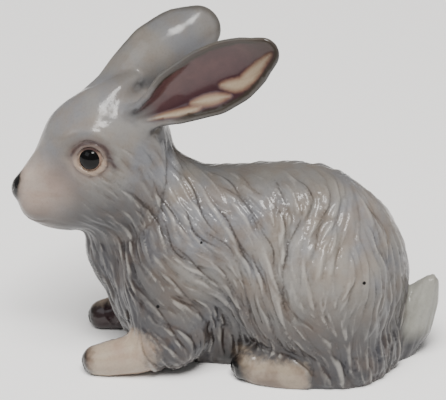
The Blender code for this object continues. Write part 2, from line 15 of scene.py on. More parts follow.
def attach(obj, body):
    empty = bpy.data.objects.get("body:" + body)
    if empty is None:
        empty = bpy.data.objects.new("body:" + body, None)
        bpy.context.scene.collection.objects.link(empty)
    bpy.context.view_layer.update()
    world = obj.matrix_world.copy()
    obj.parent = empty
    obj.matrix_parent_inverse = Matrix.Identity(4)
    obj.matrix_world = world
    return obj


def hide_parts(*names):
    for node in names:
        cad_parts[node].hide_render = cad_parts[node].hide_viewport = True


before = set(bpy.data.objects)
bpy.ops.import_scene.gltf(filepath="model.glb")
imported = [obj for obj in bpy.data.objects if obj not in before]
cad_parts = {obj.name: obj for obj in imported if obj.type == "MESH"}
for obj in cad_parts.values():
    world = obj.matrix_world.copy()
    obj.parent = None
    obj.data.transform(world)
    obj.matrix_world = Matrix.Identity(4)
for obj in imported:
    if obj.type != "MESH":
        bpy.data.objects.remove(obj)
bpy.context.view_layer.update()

# Driving dimension, in metres. Every form below is written in millimetres of a hare 304 mm long and
# follows this length.
LENGTH = 0.304
DRAWN_LENGTH = 304.0
TO_METRES = LENGTH / DRAWN_LENGTH

# How the skin is welded, evened out and set on the ground, in millimetres of the drawn hare.
ROUGH_VOXEL = 2.4
RELAX_ROUNDS = 4
RELAX_SHARE = 0.6  # how much of the way to its neighbours' middle a point slides in one round
BEADS = 7  # balls along each part of a limb in the rough blank
FLAT_WITHIN = 0.7
FOOT_EDGE = 2.0


# Masses: name, centre, radii, pitch and yaw in degrees, paired or not, and how widely it blends.
TORSO = [
    ("ribcage", (0, 2, 80), (44, 76, 63), 0, 0, False, 0),
    ("loin", (0, 54, 78), (48, 60, 66), -4, 0, False, 20),
    ("rump", (0, 82, 57), (48, 48, 61), 0, 0, False, 18),
    ("chest", (0, -46, 70), (35, 39, 62), 12, 0, False, 22),
    ("nape", (0, -50, 117), (24, 29, 38), 24, 0, False, 18),
    ("throat", (0, -76, 89), (22, 24, 34), 10, 0, False, 14),
    ("shoulder", (29, -34, 71), (18, 33, 48), 12, 4, True, 14),
    ("haunch", (38, 60, 55), (27, 50, 52), -14, -4, True, 12),
    ("flank", (10, 10, 24), (21, 66, 36), 0, 0, True, 16),
    ("hind_foot", (46, 45, 8), (17, 43, 17), 2, -6, True, 5),
    ("hock", (42, 84, 12), (21, 26, 24), 0, 0, True, 10),
    ("rear_base", (22, 98, 12), (26, 25, 26), 0, 0, True, 10),
    ("upper_arm", (33, -41, 32), (16, 24, 26), -10, 0, True, 12),
    ("tail_root", (0, 116, 10), (22, 22, 30), 0, 0, False, 10),
]

# The head, in its own frame: origin in the middle of the skull, nose towards -Y.
HEAD_AT = (0, -92, 150.5)
HEAD_YAW = 8.0
HEAD_PITCH = 0.0
HEAD = [
    ("skull", (0, 5, 10), (30, 40, 39), 0, 0, False, 0),
    ("occiput", (0, 29, 8), (24, 25, 33), -16, 0, False, 12),
    ("cheek", (16, 14, -15), (17, 31, 34), -14, 0, True, 10),
    ("muzzle", (0, -26, -25), (17, 29, 26), 0, 0, False, 12),
    ("jaw", (0, -8, -32), (19, 28, 19), 0, 0, False, 12),
    ("lips", (7, -42, -29), (8, 10, 11), 0, 0, True, 6),
    ("brow", (19, -4, 21), (9, 17, 8), 10, 0, True, 10),
    ("nose", (0, -52.5, -20), (6, 5, 7), 20, 0, False, 3),
]
BRIDGE = [((0, -16, 16), 16), ((0, -48, -18), 7)]
BRIDGE_BLEND = 10

# The eyes, each a ball in a shallow socket with a lid round it.
EYE_AT = (23.5, -3.6, 10.2)
EYE_LOOKS = (0.93, -0.33, 0.12)
EYE_RADIUS = 9.5
FACE_LEVEL = 5.5  # how far out the face lies from the middle of the ball
SOCKET_RADIUS = 40.0
SOCKET_DEPTH = 2.2
SOCKET_BLEND = 4
LID_RING = (10.4, 9.2)
LID_RISE = 4.4
LID_THICK = 2.1
LID_BLEND = 2.5

# Limbs drawn as tapering tubes: points of the middle line and the radius at each.
FORELEG = [
    ((34, -36, 25), 17),
    ((35.5, -62, 15), 14.5),
    ((35.5, -84, 10.5), 12.5),
    ((35, -92, 9), 11),
]
TAIL = [((0, 117, 6), 18.5), ((0, 131, 22), 18), ((0, 139.5, 38), 13), ((0, 147, 54), 5.5)]
LIMB_BLEND = 9
TAIL_BLEND = 7
HEAD_BLEND = 10

# Ears: root, tip, which way the hollow faces, the lengthwise bow, on which side of the middle line the upper
# edge is, and the outline of the ear laid flat. The outline is a row of discs: share of the length, radius,
# and how far off the middle line. The leaf is then curled about its length, by half the angle that EAR_CURL
# gives at each share of the length.
EAR_WALL = 5.6
EAR_WALL_TAPER = 0.3
EAR_RIM = 3.0  # width over which the wall thins towards the rim
EAR_BLEND = 9
EAR_ROOM = 45.0  # how far round an ear its own form is worked out
EARS = {
    "left": dict(
        root=(15, -54, 188),
        tip=(37, 33, 245),
        opening=(0.93, -0.15, 0.15),
        bow=5.0,
        upper=1,
        discs=[(0.0, 12, 3), (0.1, 14.5, 3.5), (0.24, 21, 4), (0.48, 24, 0.5), (0.62, 22.5, 0),
               (0.74, 18.5, 0), (0.88, 10.5, 0)],
    ),
    "right": dict(
        root=(-15, -80, 192),
        tip=(-35, -8, 243),
        opening=(-0.88, -0.2, -0.35),
        bow=8.0,
        upper=-1,
        discs=[(0.0, 17, 0), (0.2, 21.5, -1.5), (0.45, 24.5, -2.5), (0.65, 22.5, -2), (0.81, 16, 0)],
    ),
}
EAR_CURL = [(0.0, 75), (0.3, 55), (0.6, 42), (1.0, 30)]
EAR_STEM = [(-0.12, 12), (0.06, 10), (0.2, 5)]
STEM_SUNK = 0.75  # how far behind the leaf the stem lies, over its radius
STEM_BLEND = 5

# The coat: where on the flank (y, z), and which way (y, z) the hair lies there.
LIE = [
    ((-84, 80), (0.2, -1.0)), ((-60, 80), (0.55, -0.8)), ((-54, 62), (0.75, -0.75)),
    ((-37, 52), (0.8, -0.7)), ((-8, 26), (0.1, -1.0)), ((-37, 154), (0.5, -0.9)),
    ((-30, 122), (0.45, -0.9)), ((-15, 110), (0.7, -0.7)), ((-19, 90), (1.0, -0.5)),
    ((13, 110), (0.7, -0.75)), ((20, 86), (0.35, -1.0)), ((34, 68), (0.5, -1.0)),
    ((38, 100), (0.1, -1.0)), ((9, 142), (0.7, -0.6)), ((51, 142), (0.5, -0.8)),
    ((56, 108), (-0.6, -0.8)), ((74, 112), (-0.45, -0.85)), ((51, 80), (0.1, -1.0)),
    ((86, 68), (-0.6, -0.8)), ((108, 62), (-0.55, -0.85)), ((90, 46), (-0.1, -1.0)),
    ((102, 104), (0.4, -1.0)), ((120, 78), (0.1, -1.0)), ((118, 42), (-0.3, -1.0)),
    ((44, 55), (0.6, -0.8)), ((66, 42), (0.85, -0.5)), ((76, 20), (0.3, -1.0)),
    ((25, 30), (0.7, -0.75)), ((-118, 140), (1.0, 0.0)), ((-86, 134), (0.75, -0.65)),
    ((-104, 112), (0.9, -0.3)), ((-76, 168), (1.0, -0.2)), ((-54, 168), (0.95, -0.5)),
    ((-62, 152), (0.8, -0.65)), ((-46, 154), (0.15, -1.0)), ((-72, 140), (0.7, -0.75)),
    ((-56, 132), (0.3, -0.95)), ((-61, 188), (0.9, -0.4)), ((-110, 188), (0.7, 0.6)),
    ((-78, 44), (0.1, -1.0)), ((-104, 6), (-1.0, -0.2)), ((32, 16), (-1.0, -0.1)),
]
LIE_REACH = 14.0
PARTING = 0.5  # how strongly the hair falls to either side of the spine
TRACE_STEPS = 14

# Locks of fur, each the edge of one lock over the next: how far apart they start, their length, how
# deep they are cut, how wide the bank behind the cut is, and how much they wave.
BOLD_LOCKS = dict(seed=3, apart=16.0, length=(34, 62), depth=(1.8, 2.6), width=(4.5, 6.5), wave=0.30)
LOCK_BOX = ((-66, -112, 4), (66, 140, 190))
SCATTER_TRIES = 9000
NEAR_SKIN = 8.0
BANK = 0.55  # height of the bank over the depth of the cut
CUT_WIDTH = 0.5  # width of the cut over that of the bank
EDGE_SHARPNESS = 0.36  # width of the step between them over that of the bank
DEEPEST = 3.2
STROKE_REACH = 3.5  # how far a stroke works, over its width
FOOT_CLEAR = 3.0  # height over which the carving grows from nothing at the ground

# Share of the full depth that the coat is carved to, where it is less.
COAT_DEPTH = dict(head=0.15, cheek=0.5, paws=0.15, feet=0.15, tail=0.4, back=0.55)

# Folds that the form needs, on both flanks: points (y, z), depth and width.
FOLDS = {
    "cheek": ([(-44, 168), (-42, 156), (-43, 137), (-50, 118), (-64, 106)], 1.8, 4.5),
    "haunch_front": ([(6, 98), (12, 72), (16, 50), (25, 34), (40, 26)], 3.4, 8.0),
    "haunch_mid": ([(30, 92), (34, 80), (43, 63), (56, 52), (66, 46)], 2.2, 5.0),
    "thigh": ([(44, 62), (60, 48), (71, 38), (74, 26), (88, 14)], 2.6, 6.0),
    "foot_top": ([(12, 22), (26, 27), (42, 24), (56, 16), (62, 5)], 2.8, 5.0),
    "elbow": ([(-66, 42), (-50, 34), (-34, 22), (-26, 8)], 1.8, 5.0),
    "arm": ([(-10, 48), (-14, 36), (-10, 24), (-12, 12)], 1.8, 5.0),
}
# Creases of the face in the head's frame, left side: points, depth and width.
FACE_FOLDS = {
    "lip": ([(0, -57, -27), (0, -54, -34), (6, -49, -38), (12, -40, -41), (16, -30, -40)], 1.2, 2.4),
    "nostril": ([(1.5, -60, -23), (4.5, -58, -19), (6.5, -53, -14)], 1.0, 1.6),
}
# Creases round the eye: points (towards the nose, up), depth and width.
EYE_FOLDS = {
    "upper_lid": ([(19, -5), (13, 3), (6, 11), (-3, 13), (-12, 8), (-17, 2)], 1.1, 2.2),
    "lower_lid": ([(14, -6), (7, -11.5), (-2, -12.5), (-10, -8)], 0.6, 2.0),
}
TOE_GAP = 5.5
TOE_DEPTH = 1.5
TOE_WIDTH = 2.2
FOREPAW = (35, -100)  # middle of the paw and its tip, on the ground
HINDPAW = (43, 10)
TOE_TOP = 13.0
FAR_OUT = 100.0  # how far off a line starts on its way to the skin


def smooth_union(a, b, width):
    if width <= 0:
        return np.minimum(a, b)
    share = np.maximum(width - np.abs(a - b), 0) / width
    return np.minimum(a, b) - share * share * width / 4


def smooth_cut(a, b, width):
    """What is left of a where b is taken away."""
    return -smooth_union(-a, b, width)


def turned(pitch, yaw):
    """Rotation matrix: pitch lifts the front, yaw turns the front towards +X."""
    matrix = Matrix.Rotation(math.radians(yaw), 3, "Z") @ Matrix.Rotation(math.radians(-pitch), 3, "X")
    return np.array(matrix)


def ellipsoid(points, centre, radii, matrix):
    local = (points - centre) @ matrix
    scaled = local / radii
    reach = np.linalg.norm(scaled, axis=1)
    slope = np.linalg.norm(scaled / radii, axis=1)
    return reach * (reach - 1) / np.maximum(slope, 1e-9)


def tube(points, line):
    """Distance to a chain of tapering segments with round ends, in a plane or in space."""
    best = np.full(len(points), 1e9)
    for (start, start_radius), (end, end_radius) in zip(line, line[1:]):
        start, end = np.array(start, float), np.array(end, float)
        length = np.linalg.norm(end - start)
        taper = (end_radius - start_radius) / length
        along = (points - start) @ (end - start) / length
        off = np.sqrt(np.maximum(((points - start) ** 2).sum(axis=1) - along**2, 0))
        foot = np.clip(along + off * taper / math.sqrt(1 - taper**2), 0, length)
        best = np.minimum(best, np.hypot(along - foot, off) - start_radius - taper * foot)
    return best


def mirrored(line):
    return [((-x, y, z), radius) for (x, y, z), radius in line]


def placed(mass):
    """The one or two ellipsoids that a row of the tables stands for."""
    _, (x, y, z), radii, pitch, yaw, paired, blend = mass
    yield np.array((x, y, z), float), np.array(radii, float), turned(pitch, yaw), blend
    if paired:
        yield np.array((-x, y, z), float), np.array(radii, float), turned(pitch, -yaw), blend


def blended(points, masses):
    total = None
    for mass in masses:
        for centre, radii, matrix, blend in placed(mass):
            shape = ellipsoid(points, centre, radii, matrix)
            total = shape if total is None else smooth_union(total, shape, blend)
    return total


def head_frame():
    return np.array(HEAD_AT, float), turned(HEAD_PITCH, HEAD_YAW)


def eye_frame(side):
    """Centre of an eye in the head's frame, and its axes: outwards, towards the nose and up."""
    out = np.array(EYE_LOOKS) * (side, 1, 1)
    out /= np.linalg.norm(out)
    up = np.array((0.0, 0.0, 1.0))
    up -= (up @ out) * out
    up /= np.linalg.norm(up)
    fore = np.cross(up, out) * side
    return np.array(EYE_AT) * (side, 1, 1), np.stack([out, fore, up], axis=1)


def eye(local, shape, side):
    """The socket, the ring of the lids and the ball, worked into the head."""
    centre, axes = eye_frame(side)
    out, fore, up = ((local - centre) @ axes).T
    middle = FACE_LEVEL + SOCKET_RADIUS - SOCKET_DEPTH
    socket = np.sqrt((out - middle) ** 2 + fore**2 + up**2) - SOCKET_RADIUS
    shape = smooth_cut(shape, socket, SOCKET_BLEND)
    wide, high = LID_RING
    ring = np.sqrt((fore / wide) ** 2 + (up / high) ** 2)
    ring = np.sqrt(((ring - 1) * (wide + high) / 2) ** 2 + (out - LID_RISE) ** 2) - LID_THICK
    shape = smooth_union(shape, ring, LID_BLEND)
    ball = np.sqrt(out**2 + fore**2 + up**2) - EYE_RADIUS
    return np.minimum(shape, ball)


def in_head(points):
    """The points in the head's own frame."""
    at, matrix = head_frame()
    return (points - at) @ matrix


def head(points):
    local = in_head(points)
    shape = blended(local, HEAD)
    shape = smooth_union(shape, tube(local, BRIDGE), BRIDGE_BLEND)
    for side in (1, -1):
        shape = eye(local, shape, side)
    return shape


def ear_axes(shape):
    """Unit vectors along the ear, across it and out of its opening, and its length."""
    along = np.array(shape["tip"], float) - np.array(shape["root"], float)
    length = np.linalg.norm(along)
    along /= length
    out = np.array(shape["opening"], float)
    out -= (out @ along) * along
    out /= np.linalg.norm(out)
    return along, np.cross(out, along), out, length


def ear_local(points, shape):
    along, across, out, length = ear_axes(shape)
    offset = points - np.array(shape["root"], float)
    return offset @ along, offset @ across, offset @ out, length


def ear_edges(share, shape, length):
    """Middle and half width of the ear, laid flat, at a share of its length, its wall included."""
    shares, radii, offsets = zip(*shape["discs"])
    beyond = np.maximum(np.maximum(shares[0] - share, share - shares[-1]) * length, 0)
    radius = np.interp(share, shares, radii) + ear_wall(share)
    return np.interp(share, shares, offsets), np.sqrt(np.maximum(radius**2 - beyond**2, 0))


def ear_curl(share, shape, length):
    """Radius of the curl at a share of the length, and how far its middle is from the ear's chord."""
    half_angle = np.radians(np.interp(share, *zip(*EAR_CURL)))
    shares, radii, _ = zip(*shape["discs"])
    radius = np.interp(share, shares, radii) / half_angle
    inside = np.clip(share, 0, 1)
    floor = -4 * shape["bow"] * inside * (1 - inside) - radius * (1 - np.cos(half_angle)) / 2
    return radius, floor + radius


def ear_wall(share):
    return EAR_WALL / 2 * (1 + EAR_WALL_TAPER * (0.5 - np.clip(share, 0, 1)))


def ear_stem(shape):
    """The ear's root as a tube behind the hollow."""
    along, _, out, length = ear_axes(shape)
    root = np.array(shape["root"], float)
    stem = []
    for share, radius in EAR_STEM:
        curl, middle = ear_curl(share, shape, length)
        back = middle - curl - radius * STEM_SUNK
        stem.append((tuple(root + along * share * length + out * back), radius))
    return stem


def beyond_outline(along, across, shape, length):
    """Distance to the ear's outline on the ear laid flat, negative inside it."""
    line = [((share * length, offset), radius) for share, radius, offset in shape["discs"]]
    return tube(np.stack([along, across], axis=1), line)


def off_outline(along, across, shape, length):
    """The same distance, growing softly from nothing inside the outline."""
    beyond = beyond_outline(along, across, shape, length)
    return (np.hypot(beyond, EAR_RIM) + beyond) / 2


def uncurled(points, shape):
    """Where points lie along and across the ear laid flat, how far off its sheet, and its length."""
    u, v, w, length = ear_local(points, shape)
    curl, middle = ear_curl(u / length, shape, length)
    return u, curl * np.arctan2(v, middle - w), np.hypot(v, w - middle) - curl, length


def ear(points, shape):
    u, flat, off_sheet, length = uncurled(points, shape)
    leaf = np.hypot(off_outline(u, flat, shape, length), off_sheet) - ear_wall(u / length)
    return smooth_union(leaf, tube(points, ear_stem(shape)), STEM_BLEND)


def near_ear(points, shape):
    """Which points are close enough to an ear for it to matter."""
    u, v, w, length = ear_local(points, shape)
    beside = np.maximum(np.abs(v), np.abs(w)) < EAR_ROOM
    return (np.abs(u - length / 2) < length / 2 + EAR_ROOM) & beside


def off_forelegs(points):
    return np.minimum(tube(points, FORELEG), tube(points, mirrored(FORELEG)))


def hare(points):
    """Signed distance, roughly, to the smooth skin of the hare, negative inside."""
    body = blended(points, TORSO)
    for line in (FORELEG, mirrored(FORELEG)):
        body = smooth_union(body, tube(points, line), LIMB_BLEND)
    body = smooth_union(body, tube(points, TAIL), TAIL_BLEND)
    body = smooth_union(body, head(points), HEAD_BLEND)
    for shape in EARS.values():
        close = near_ear(points, shape)
        body[close] = smooth_union(body[close], ear(points[close], shape), EAR_BLEND)
    return smooth_cut(body, points[:, 2], FOOT_EDGE)


def outward(points, step=0.35):
    """Unit normals of the skin and its value at the points."""
    value = hare(points)
    slope = np.empty_like(points)
    for axis in range(3):
        shifted = points.copy()
        shifted[:, axis] += step
        slope[:, axis] = (hare(shifted) - value) / step
    size = np.maximum(np.linalg.norm(slope, axis=1), 1e-6)
    return slope / size[:, None], value, size


def settled(points, rounds=4, most=3.0):
    """The points moved onto the skin."""
    for _ in range(rounds):
        normal, value, size = outward(points)
        points = points - normal * np.clip(value / size, -most, most)[:, None]
    return points


def evened(mesh, points, rounds):
    """The points slid along the skin towards the middle of their neighbours."""
    for _ in range(rounds):
        normal, value, size = outward(points)
        points = points - normal * np.clip(value / size, -1.0, 1.0)[:, None]
        slide = neighbour_means(mesh, points) - points
        slide -= (slide * normal).sum(axis=1, keepdims=True) * normal
        points = points + slide * RELAX_SHARE
    return settled(points, 1)


def rough_blank(collection):
    """All the masses as plain balls and leaves in one mesh, for the voxel remesh to weld."""
    blank = bmesh.new()

    def ball(centre, radii, matrix):
        place = Matrix.Translation(centre) @ Matrix(matrix.tolist()).to_4x4()
        place = place @ Matrix.Diagonal((*radii, 1))
        bmesh.ops.create_icosphere(blank, subdivisions=4, radius=1, matrix=place)

    def beads(line):
        for (start, start_radius), (end, end_radius) in zip(line, line[1:]):
            for share in np.linspace(0, 1, BEADS):
                centre = np.array(start) * (1 - share) + np.array(end) * share
                radius = start_radius * (1 - share) + end_radius * share
                ball(centre, (radius,) * 3, np.eye(3))

    for mass in TORSO:
        for centre, radii, matrix, _ in placed(mass):
            ball(centre, radii, matrix)
    at, facing = head_frame()
    for mass in HEAD:
        for centre, radii, matrix, _ in placed(mass):
            ball(at + facing @ centre, radii, facing @ matrix)
    beads([(tuple(at + facing @ np.array(centre, float)), radius) for centre, radius in BRIDGE])
    for line in (FORELEG, mirrored(FORELEG), TAIL):
        beads(line)
    for shape in EARS.values():
        ear_leaf(blank, shape)
        beads(ear_stem(shape))
    mesh = bpy.data.meshes.new("blank")
    blank.to_mesh(mesh)
    blank.free()
    obj = bpy.data.objects.new("blank", mesh)
    collection.objects.link(obj)
    return obj


def ear_leaf(blank, shape, rows=60, columns=30):
    """A closed leaf that follows the curled ear, for the voxel remesh to weld to the head."""
    along, across, out, length = ear_axes(shape)
    root = np.array(shape["root"], float)
    (first, first_radius, _), (last, last_radius, _) = shape["discs"][0], shape["discs"][-1]
    start = first - (first_radius + ear_wall(first)) / length
    end = last + (last_radius + ear_wall(last)) / length
    spread = -np.cos(np.linspace(0, math.pi, columns))
    layers = []
    for side in (-1, 1):
        grid = []
        for share in start + (end - start) * (1 - np.cos(np.linspace(0, math.pi, rows))) / 2:
            middle, half = ear_edges(share, shape, length)
            flat = middle + spread * half
            off = off_outline(np.full(columns, share * length), flat, shape, length)
            curl, centre = ear_curl(share, shape, length)
            radius = curl + side * np.sqrt(np.maximum(ear_wall(share) ** 2 - off**2, 0))
            places = root + along * share * length
            places = places + np.outer(radius * np.sin(flat / curl), across)
            places = places + np.outer(centre - radius * np.cos(flat / curl), out)
            grid.append([blank.verts.new(place) for place in places])
        layers.append(grid)
    for side, grid in zip((1, -1), layers):
        for upper, lower in zip(grid, grid[1:]):
            for column in range(columns - 1):
                corners = [upper[column], upper[column + 1], lower[column + 1], lower[column]]
                blank.faces.new(corners if side > 0 else corners[::-1])
    inner, outer = layers
    rim = (
        [(row, 0) for row in range(rows)]
        + [(rows - 1, column) for column in range(1, columns)]
        + [(row, columns - 1) for row in range(rows - 2, -1, -1)]
        + [(0, column) for column in range(columns - 2, 0, -1)]
    )
    for (row, column), (next_row, next_column) in zip(rim, rim[1:] + rim[:1]):
        corners = [inner[row][column], inner[next_row][next_column]]
        blank.faces.new(corners + [outer[next_row][next_column], outer[row][column]])


def remeshed(obj, voxel):
    """A new mesh: the object's, welded by Blender's voxel remesh."""
    modifier = obj.modifiers.new("weld_masses", "REMESH")
    modifier.mode = "VOXEL"
    modifier.voxel_size = voxel
    return applied(obj)


def applied(obj):
    graph = bpy.context.evaluated_depsgraph_get()
    mesh = bpy.data.meshes.new_from_object(obj.evaluated_get(graph))
    obj.modifiers.clear()
    return mesh


def vertices(mesh):
    points = np.empty(len(mesh.vertices) * 3)
    mesh.vertices.foreach_get("co", points)
    return points.reshape(-1, 3)


def put(mesh, points):
    mesh.vertices.foreach_set("co", points.astype(np.float32).ravel())
    mesh.update()


def neighbours(mesh):
    """The two ends of every edge, and how many neighbours each vertex has."""
    ends = np.empty(len(mesh.edges) * 2, np.int32)
    mesh.edges.foreach_get("vertices", ends)
    return ends.reshape(-1, 2).T, np.bincount(ends, minlength=len(mesh.vertices))


def neighbour_sums(ends, values):
    a, b = ends
    return np.bincount(a, values[b], len(values)) + np.bincount(b, values[a], len(values))


def neighbour_means(mesh, points):
    """The mean of each vertex's neighbours."""
    ends, count = neighbours(mesh)
    total = np.stack([neighbour_sums(ends, column) for column in points.T], axis=1)
    return total / np.maximum(count, 1)[:, None]


def smooth_skin(collection, voxel):
    """The blended, uncarved hare as a mesh object."""
    obj = rough_blank(collection)
    for size in (ROUGH_VOXEL, voxel):
        obj.data = remeshed(obj, size)
        points = settled(vertices(obj.data), 2)
        put(obj.data, evened(obj.data, points, RELAX_ROUNDS))
    return obj


def unit(vectors):
    return vectors / np.maximum(np.linalg.norm(vectors, axis=-1, keepdims=True), 1e-9)


def lie(points, normal):
    """Which way the hair lies at points of the skin."""
    places, ways = (np.array(column, float) for column in zip(*LIE))
    gap = points[:, None, 1:] - places
    weight = np.exp(-(gap**2).sum(axis=2) / (2 * LIE_REACH**2)) + 1e-9
    way = np.zeros_like(points)
    way[:, 1:] = unit(weight @ ways)
    way[:, 0] = np.sign(points[:, 0]) * PARTING * np.maximum(normal[:, 2], 0)
    way -= (way * normal).sum(axis=1, keepdims=True) * normal
    return unit(way)


def scattered(rng, apart):
    """Points spread over the skin, none nearer another than the given distance."""
    points = rng.uniform(*LOCK_BOX, (SCATTER_TRIES, 3))
    points = points[np.abs(hare(points)) < NEAR_SKIN]
    points = settled(points, 3)
    chosen = np.empty((0, 3))
    for point in points:
        if not len(chosen) or np.min(((chosen - point) ** 2).sum(axis=1)) > apart**2:
            chosen = np.vstack([chosen, point])
    return chosen


def locks(kind):
    """Lines over the skin along the lie of the coat, with the depth and width of each."""
    rng = np.random.default_rng(kind["seed"])
    points = scattered(rng, kind["apart"])
    count = len(points)
    length, depth, width = (rng.uniform(*kind[name], count) for name in ("length", "depth", "width"))
    phase = rng.uniform(0, 2 * math.pi, count)
    lines, normals = [], []
    for step in range(TRACE_STEPS + 1):
        normal, value, size = outward(points)
        points = points - normal * np.clip(value / size, -2, 2)[:, None]
        lines.append(points)
        normals.append(normal)
        way = lie(points, normal)
        swing = kind["wave"] * np.sin(phase + 2 * math.pi * step / TRACE_STEPS)[:, None]
        way = way * np.cos(swing) + np.cross(normal, way) * np.sin(swing)
        points = points + way * (length / TRACE_STEPS)[:, None]
    lines, normals = np.stack(lines, axis=1), np.stack(normals, axis=1)
    amount = coat(lines[:, TRACE_STEPS // 2])
    return [stroke for stroke in zip(lines, normals, depth * amount, width) if stroke[2] > 0.1]


def ramp(value, zero, one):
    """From 0 to 1 as the value goes from one limit to the other."""
    return np.clip((value - zero) / (one - zero), 0, 1)


def coat(points):
    """How deeply the coat is carved at points of the skin, from 0 to 1."""
    _, y, z = points.T
    legs = off_forelegs(points)
    local = in_head(points)
    head = ramp(blended(local, HEAD), 9, 3)
    cheek = ramp(local[:, 1], -14, 8) * ramp(local[:, 2], 24, 12)
    where = {
        "head": head * (1 - cheek),
        "cheek": head * cheek,
        "paws": ramp(legs, 6.5, 1.5) * ramp(y, -52, -66),
        "feet": ramp(z, 26, 18) * ramp(y, 62, 52) * ramp(y, 0, 10),
        "tail": ramp(tube(points, TAIL), 6.5, 1.5),
        "back": ramp(z, 132, 144) * (1 - head),
    }
    amount = np.ones(len(points))
    for shape in EARS.values():
        amount *= ramp(ear(points, shape), 4, 12)
    for place, share in where.items():
        amount *= 1 - (1 - COAT_DEPTH[place]) * share
    return amount


def curve(points, count=TRACE_STEPS + 1):
    """A smooth run of points through a few given ones."""
    points = np.array(points, float)
    given = np.concatenate([[2 * points[0] - points[1]], points, [2 * points[-1] - points[-2]]])
    at = np.linspace(0, len(points) - 1, count)
    first = np.minimum(at.astype(int), len(points) - 2)
    t = (at - first)[:, None]
    a, b, c, d = (given[first + step] for step in range(4))
    cubic = (3 * b - a - 3 * c + d) * t**3
    return 0.5 * (2 * b + (c - a) * t + (2 * a - 5 * b + 4 * c - d) * t**2 + cubic)


def touched(points, way, most=120.0, steps=60, share=0.7):
    """Where points moved along a direction first touch the skin."""
    way, points = np.array(way, float), np.array(points, float)
    gone = np.zeros(len(points))
    for _ in range(steps):
        gone = np.minimum(gone + np.maximum(hare(points + gone[:, None] * way), 0) * share, most)
    return points + gone[:, None] * way


def stroke(points, depth, width):
    normal, _, _ = outward(points)
    return points, normal, depth, width


def folds():
    """The named folds of the body, the face and the paws, as strokes."""
    strokes = []
    for points, depth, width in FOLDS.values():
        for side in (1, -1):
            flank = np.array([(side * FAR_OUT, y, z) for y, z in curve(points)])
            line = touched(flank, (-side, 0, 0))
            strokes.append(stroke(line if side > 0 else line[::-1], depth, width))
    at, matrix = head_frame()
    for points, depth, width in FACE_FOLDS.values():
        for side in (1, -1):
            line = settled(at + (curve(points) * (side, 1, 1)) @ matrix.T)
            strokes.append(stroke(line[::side], depth, width))
    for points, depth, width in EYE_FOLDS.values():
        for side in (1, -1):
            centre, axes = eye_frame(side)
            around = np.array([(FACE_LEVEL, fore, up) for fore, up in curve(points)])
            line = settled(at + (centre + around @ axes.T) @ matrix.T)
            strokes.append(stroke(line[::side], depth, width))
    for side in (1, -1):
        for middle, tip in (FOREPAW, HINDPAW):
            for offset in (-0.5, 0.5):
                x = side * (middle + offset * TOE_GAP)
                heights = np.linspace(TOE_TOP, 1, TRACE_STEPS + 1)
                down = np.array([(x, tip - FAR_OUT / 2, z) for z in heights])
                strokes.append(stroke(touched(down, (0, 1, 0)), TOE_DEPTH, TOE_WIDTH))
    return strokes


def stroke_frame(points, line, normals, reach):
    """For points near a line: signed distance across it, and the share of its length they lie at."""
    edge = line[1:] - line[:-1]
    size = np.maximum((edge**2).sum(axis=1), 1e-9)
    gap = points[:, None, :] - line[:-1]
    share = np.clip((gap * edge).sum(axis=2) / size, 0, 1)
    off = gap - share[..., None] * edge
    nearest = np.argmin((off**2).sum(axis=2), axis=1)
    rows = np.arange(len(points))
    off, facing = off[rows, nearest], normals[:-1][nearest]
    lift = (off * facing).sum(axis=1, keepdims=True)
    flat = off - lift * facing
    side = unit(np.cross(normals[:-1], edge))[nearest]
    across = np.linalg.norm(flat, axis=1) * np.sign((flat * side).sum(axis=1))
    along = (nearest + share[rows, nearest]) / len(edge)
    return np.where(np.abs(lift[:, 0]) > reach, 1e3, across), along


def near_stroke(points, line, normals, reach):
    """The points that a stroke can reach, and where across and along it they lie."""
    low, high = line.min(axis=0) - reach, line.max(axis=0) + reach
    close = np.flatnonzero(((points > low) & (points < high)).all(axis=1))
    return close, *stroke_frame(points[close], line, normals, reach)


def faded(along):
    """Full in the middle of a stroke and nothing at its ends."""
    return np.sqrt(np.clip(np.sin(math.pi * along), 0, 1))


def ledge(across, along, width):
    """Section of a cut: a bank on one side of the line, a groove on the other, fading at both ends."""
    bank = np.exp(np.minimum(across, 0) / width) * BANK
    groove = np.exp(-np.maximum(across, 0) / (width * CUT_WIDTH))
    step = np.tanh(across / (width * EDGE_SHARPNESS))
    return -step * np.where(across < 0, bank, groove) * faded(along)


def carved(points, strokes):
    """How far each point of the skin is raised or cut by the strokes."""
    raised = np.zeros(len(points))
    for line, normals, depth, width in strokes:
        reach = width * STROKE_REACH
        close, across, along = near_stroke(points, line, normals, reach)
        raised[close] += depth * ledge(across, along, width) * (np.abs(across) < reach)
    return DEEPEST * np.tanh(raised / DEEPEST)


def lightened(obj, triangles):
    """The object's mesh reduced to about so many triangles."""
    modifier = obj.modifiers.new("lighten", "DECIMATE")
    faces = sum(len(face.vertices) - 2 for face in obj.data.polygons)
    modifier.ratio = triangles / faces
    return applied(obj)


def seated(mesh):
    """The underside made exactly flat."""
    points = vertices(mesh)
    points[points[:, 2] < FLAT_WITHIN, 2] = 0
    put(mesh, points)


# The fine skin.
FINE_VOXEL = 1.3
FINE_TRIANGLES = 194000
FINE_ZONE = 17.0  # how far round the eyes and the nose the skin is made twice as fine
NOSE_TIP = (0, -56, -22)

# The strands between the bold locks and the hairs on them: how many rounds they are blurred all round and
# drawn out along the lie of the coat, how deep they are, how narrow the crease between two strands is, and
# how far a strand's crown is raised.
STRANDS = dict(seed=11, rounds=7, streak=90, depth=0.85, crease=0.26, crown=0.4)
HAIRS = dict(seed=12, rounds=0, streak=16, depth=0.10)
FLOW_STEP = 2.3
LEVEL_ROUNDS = 12  # how far round the level is taken that strands and hairs are measured from

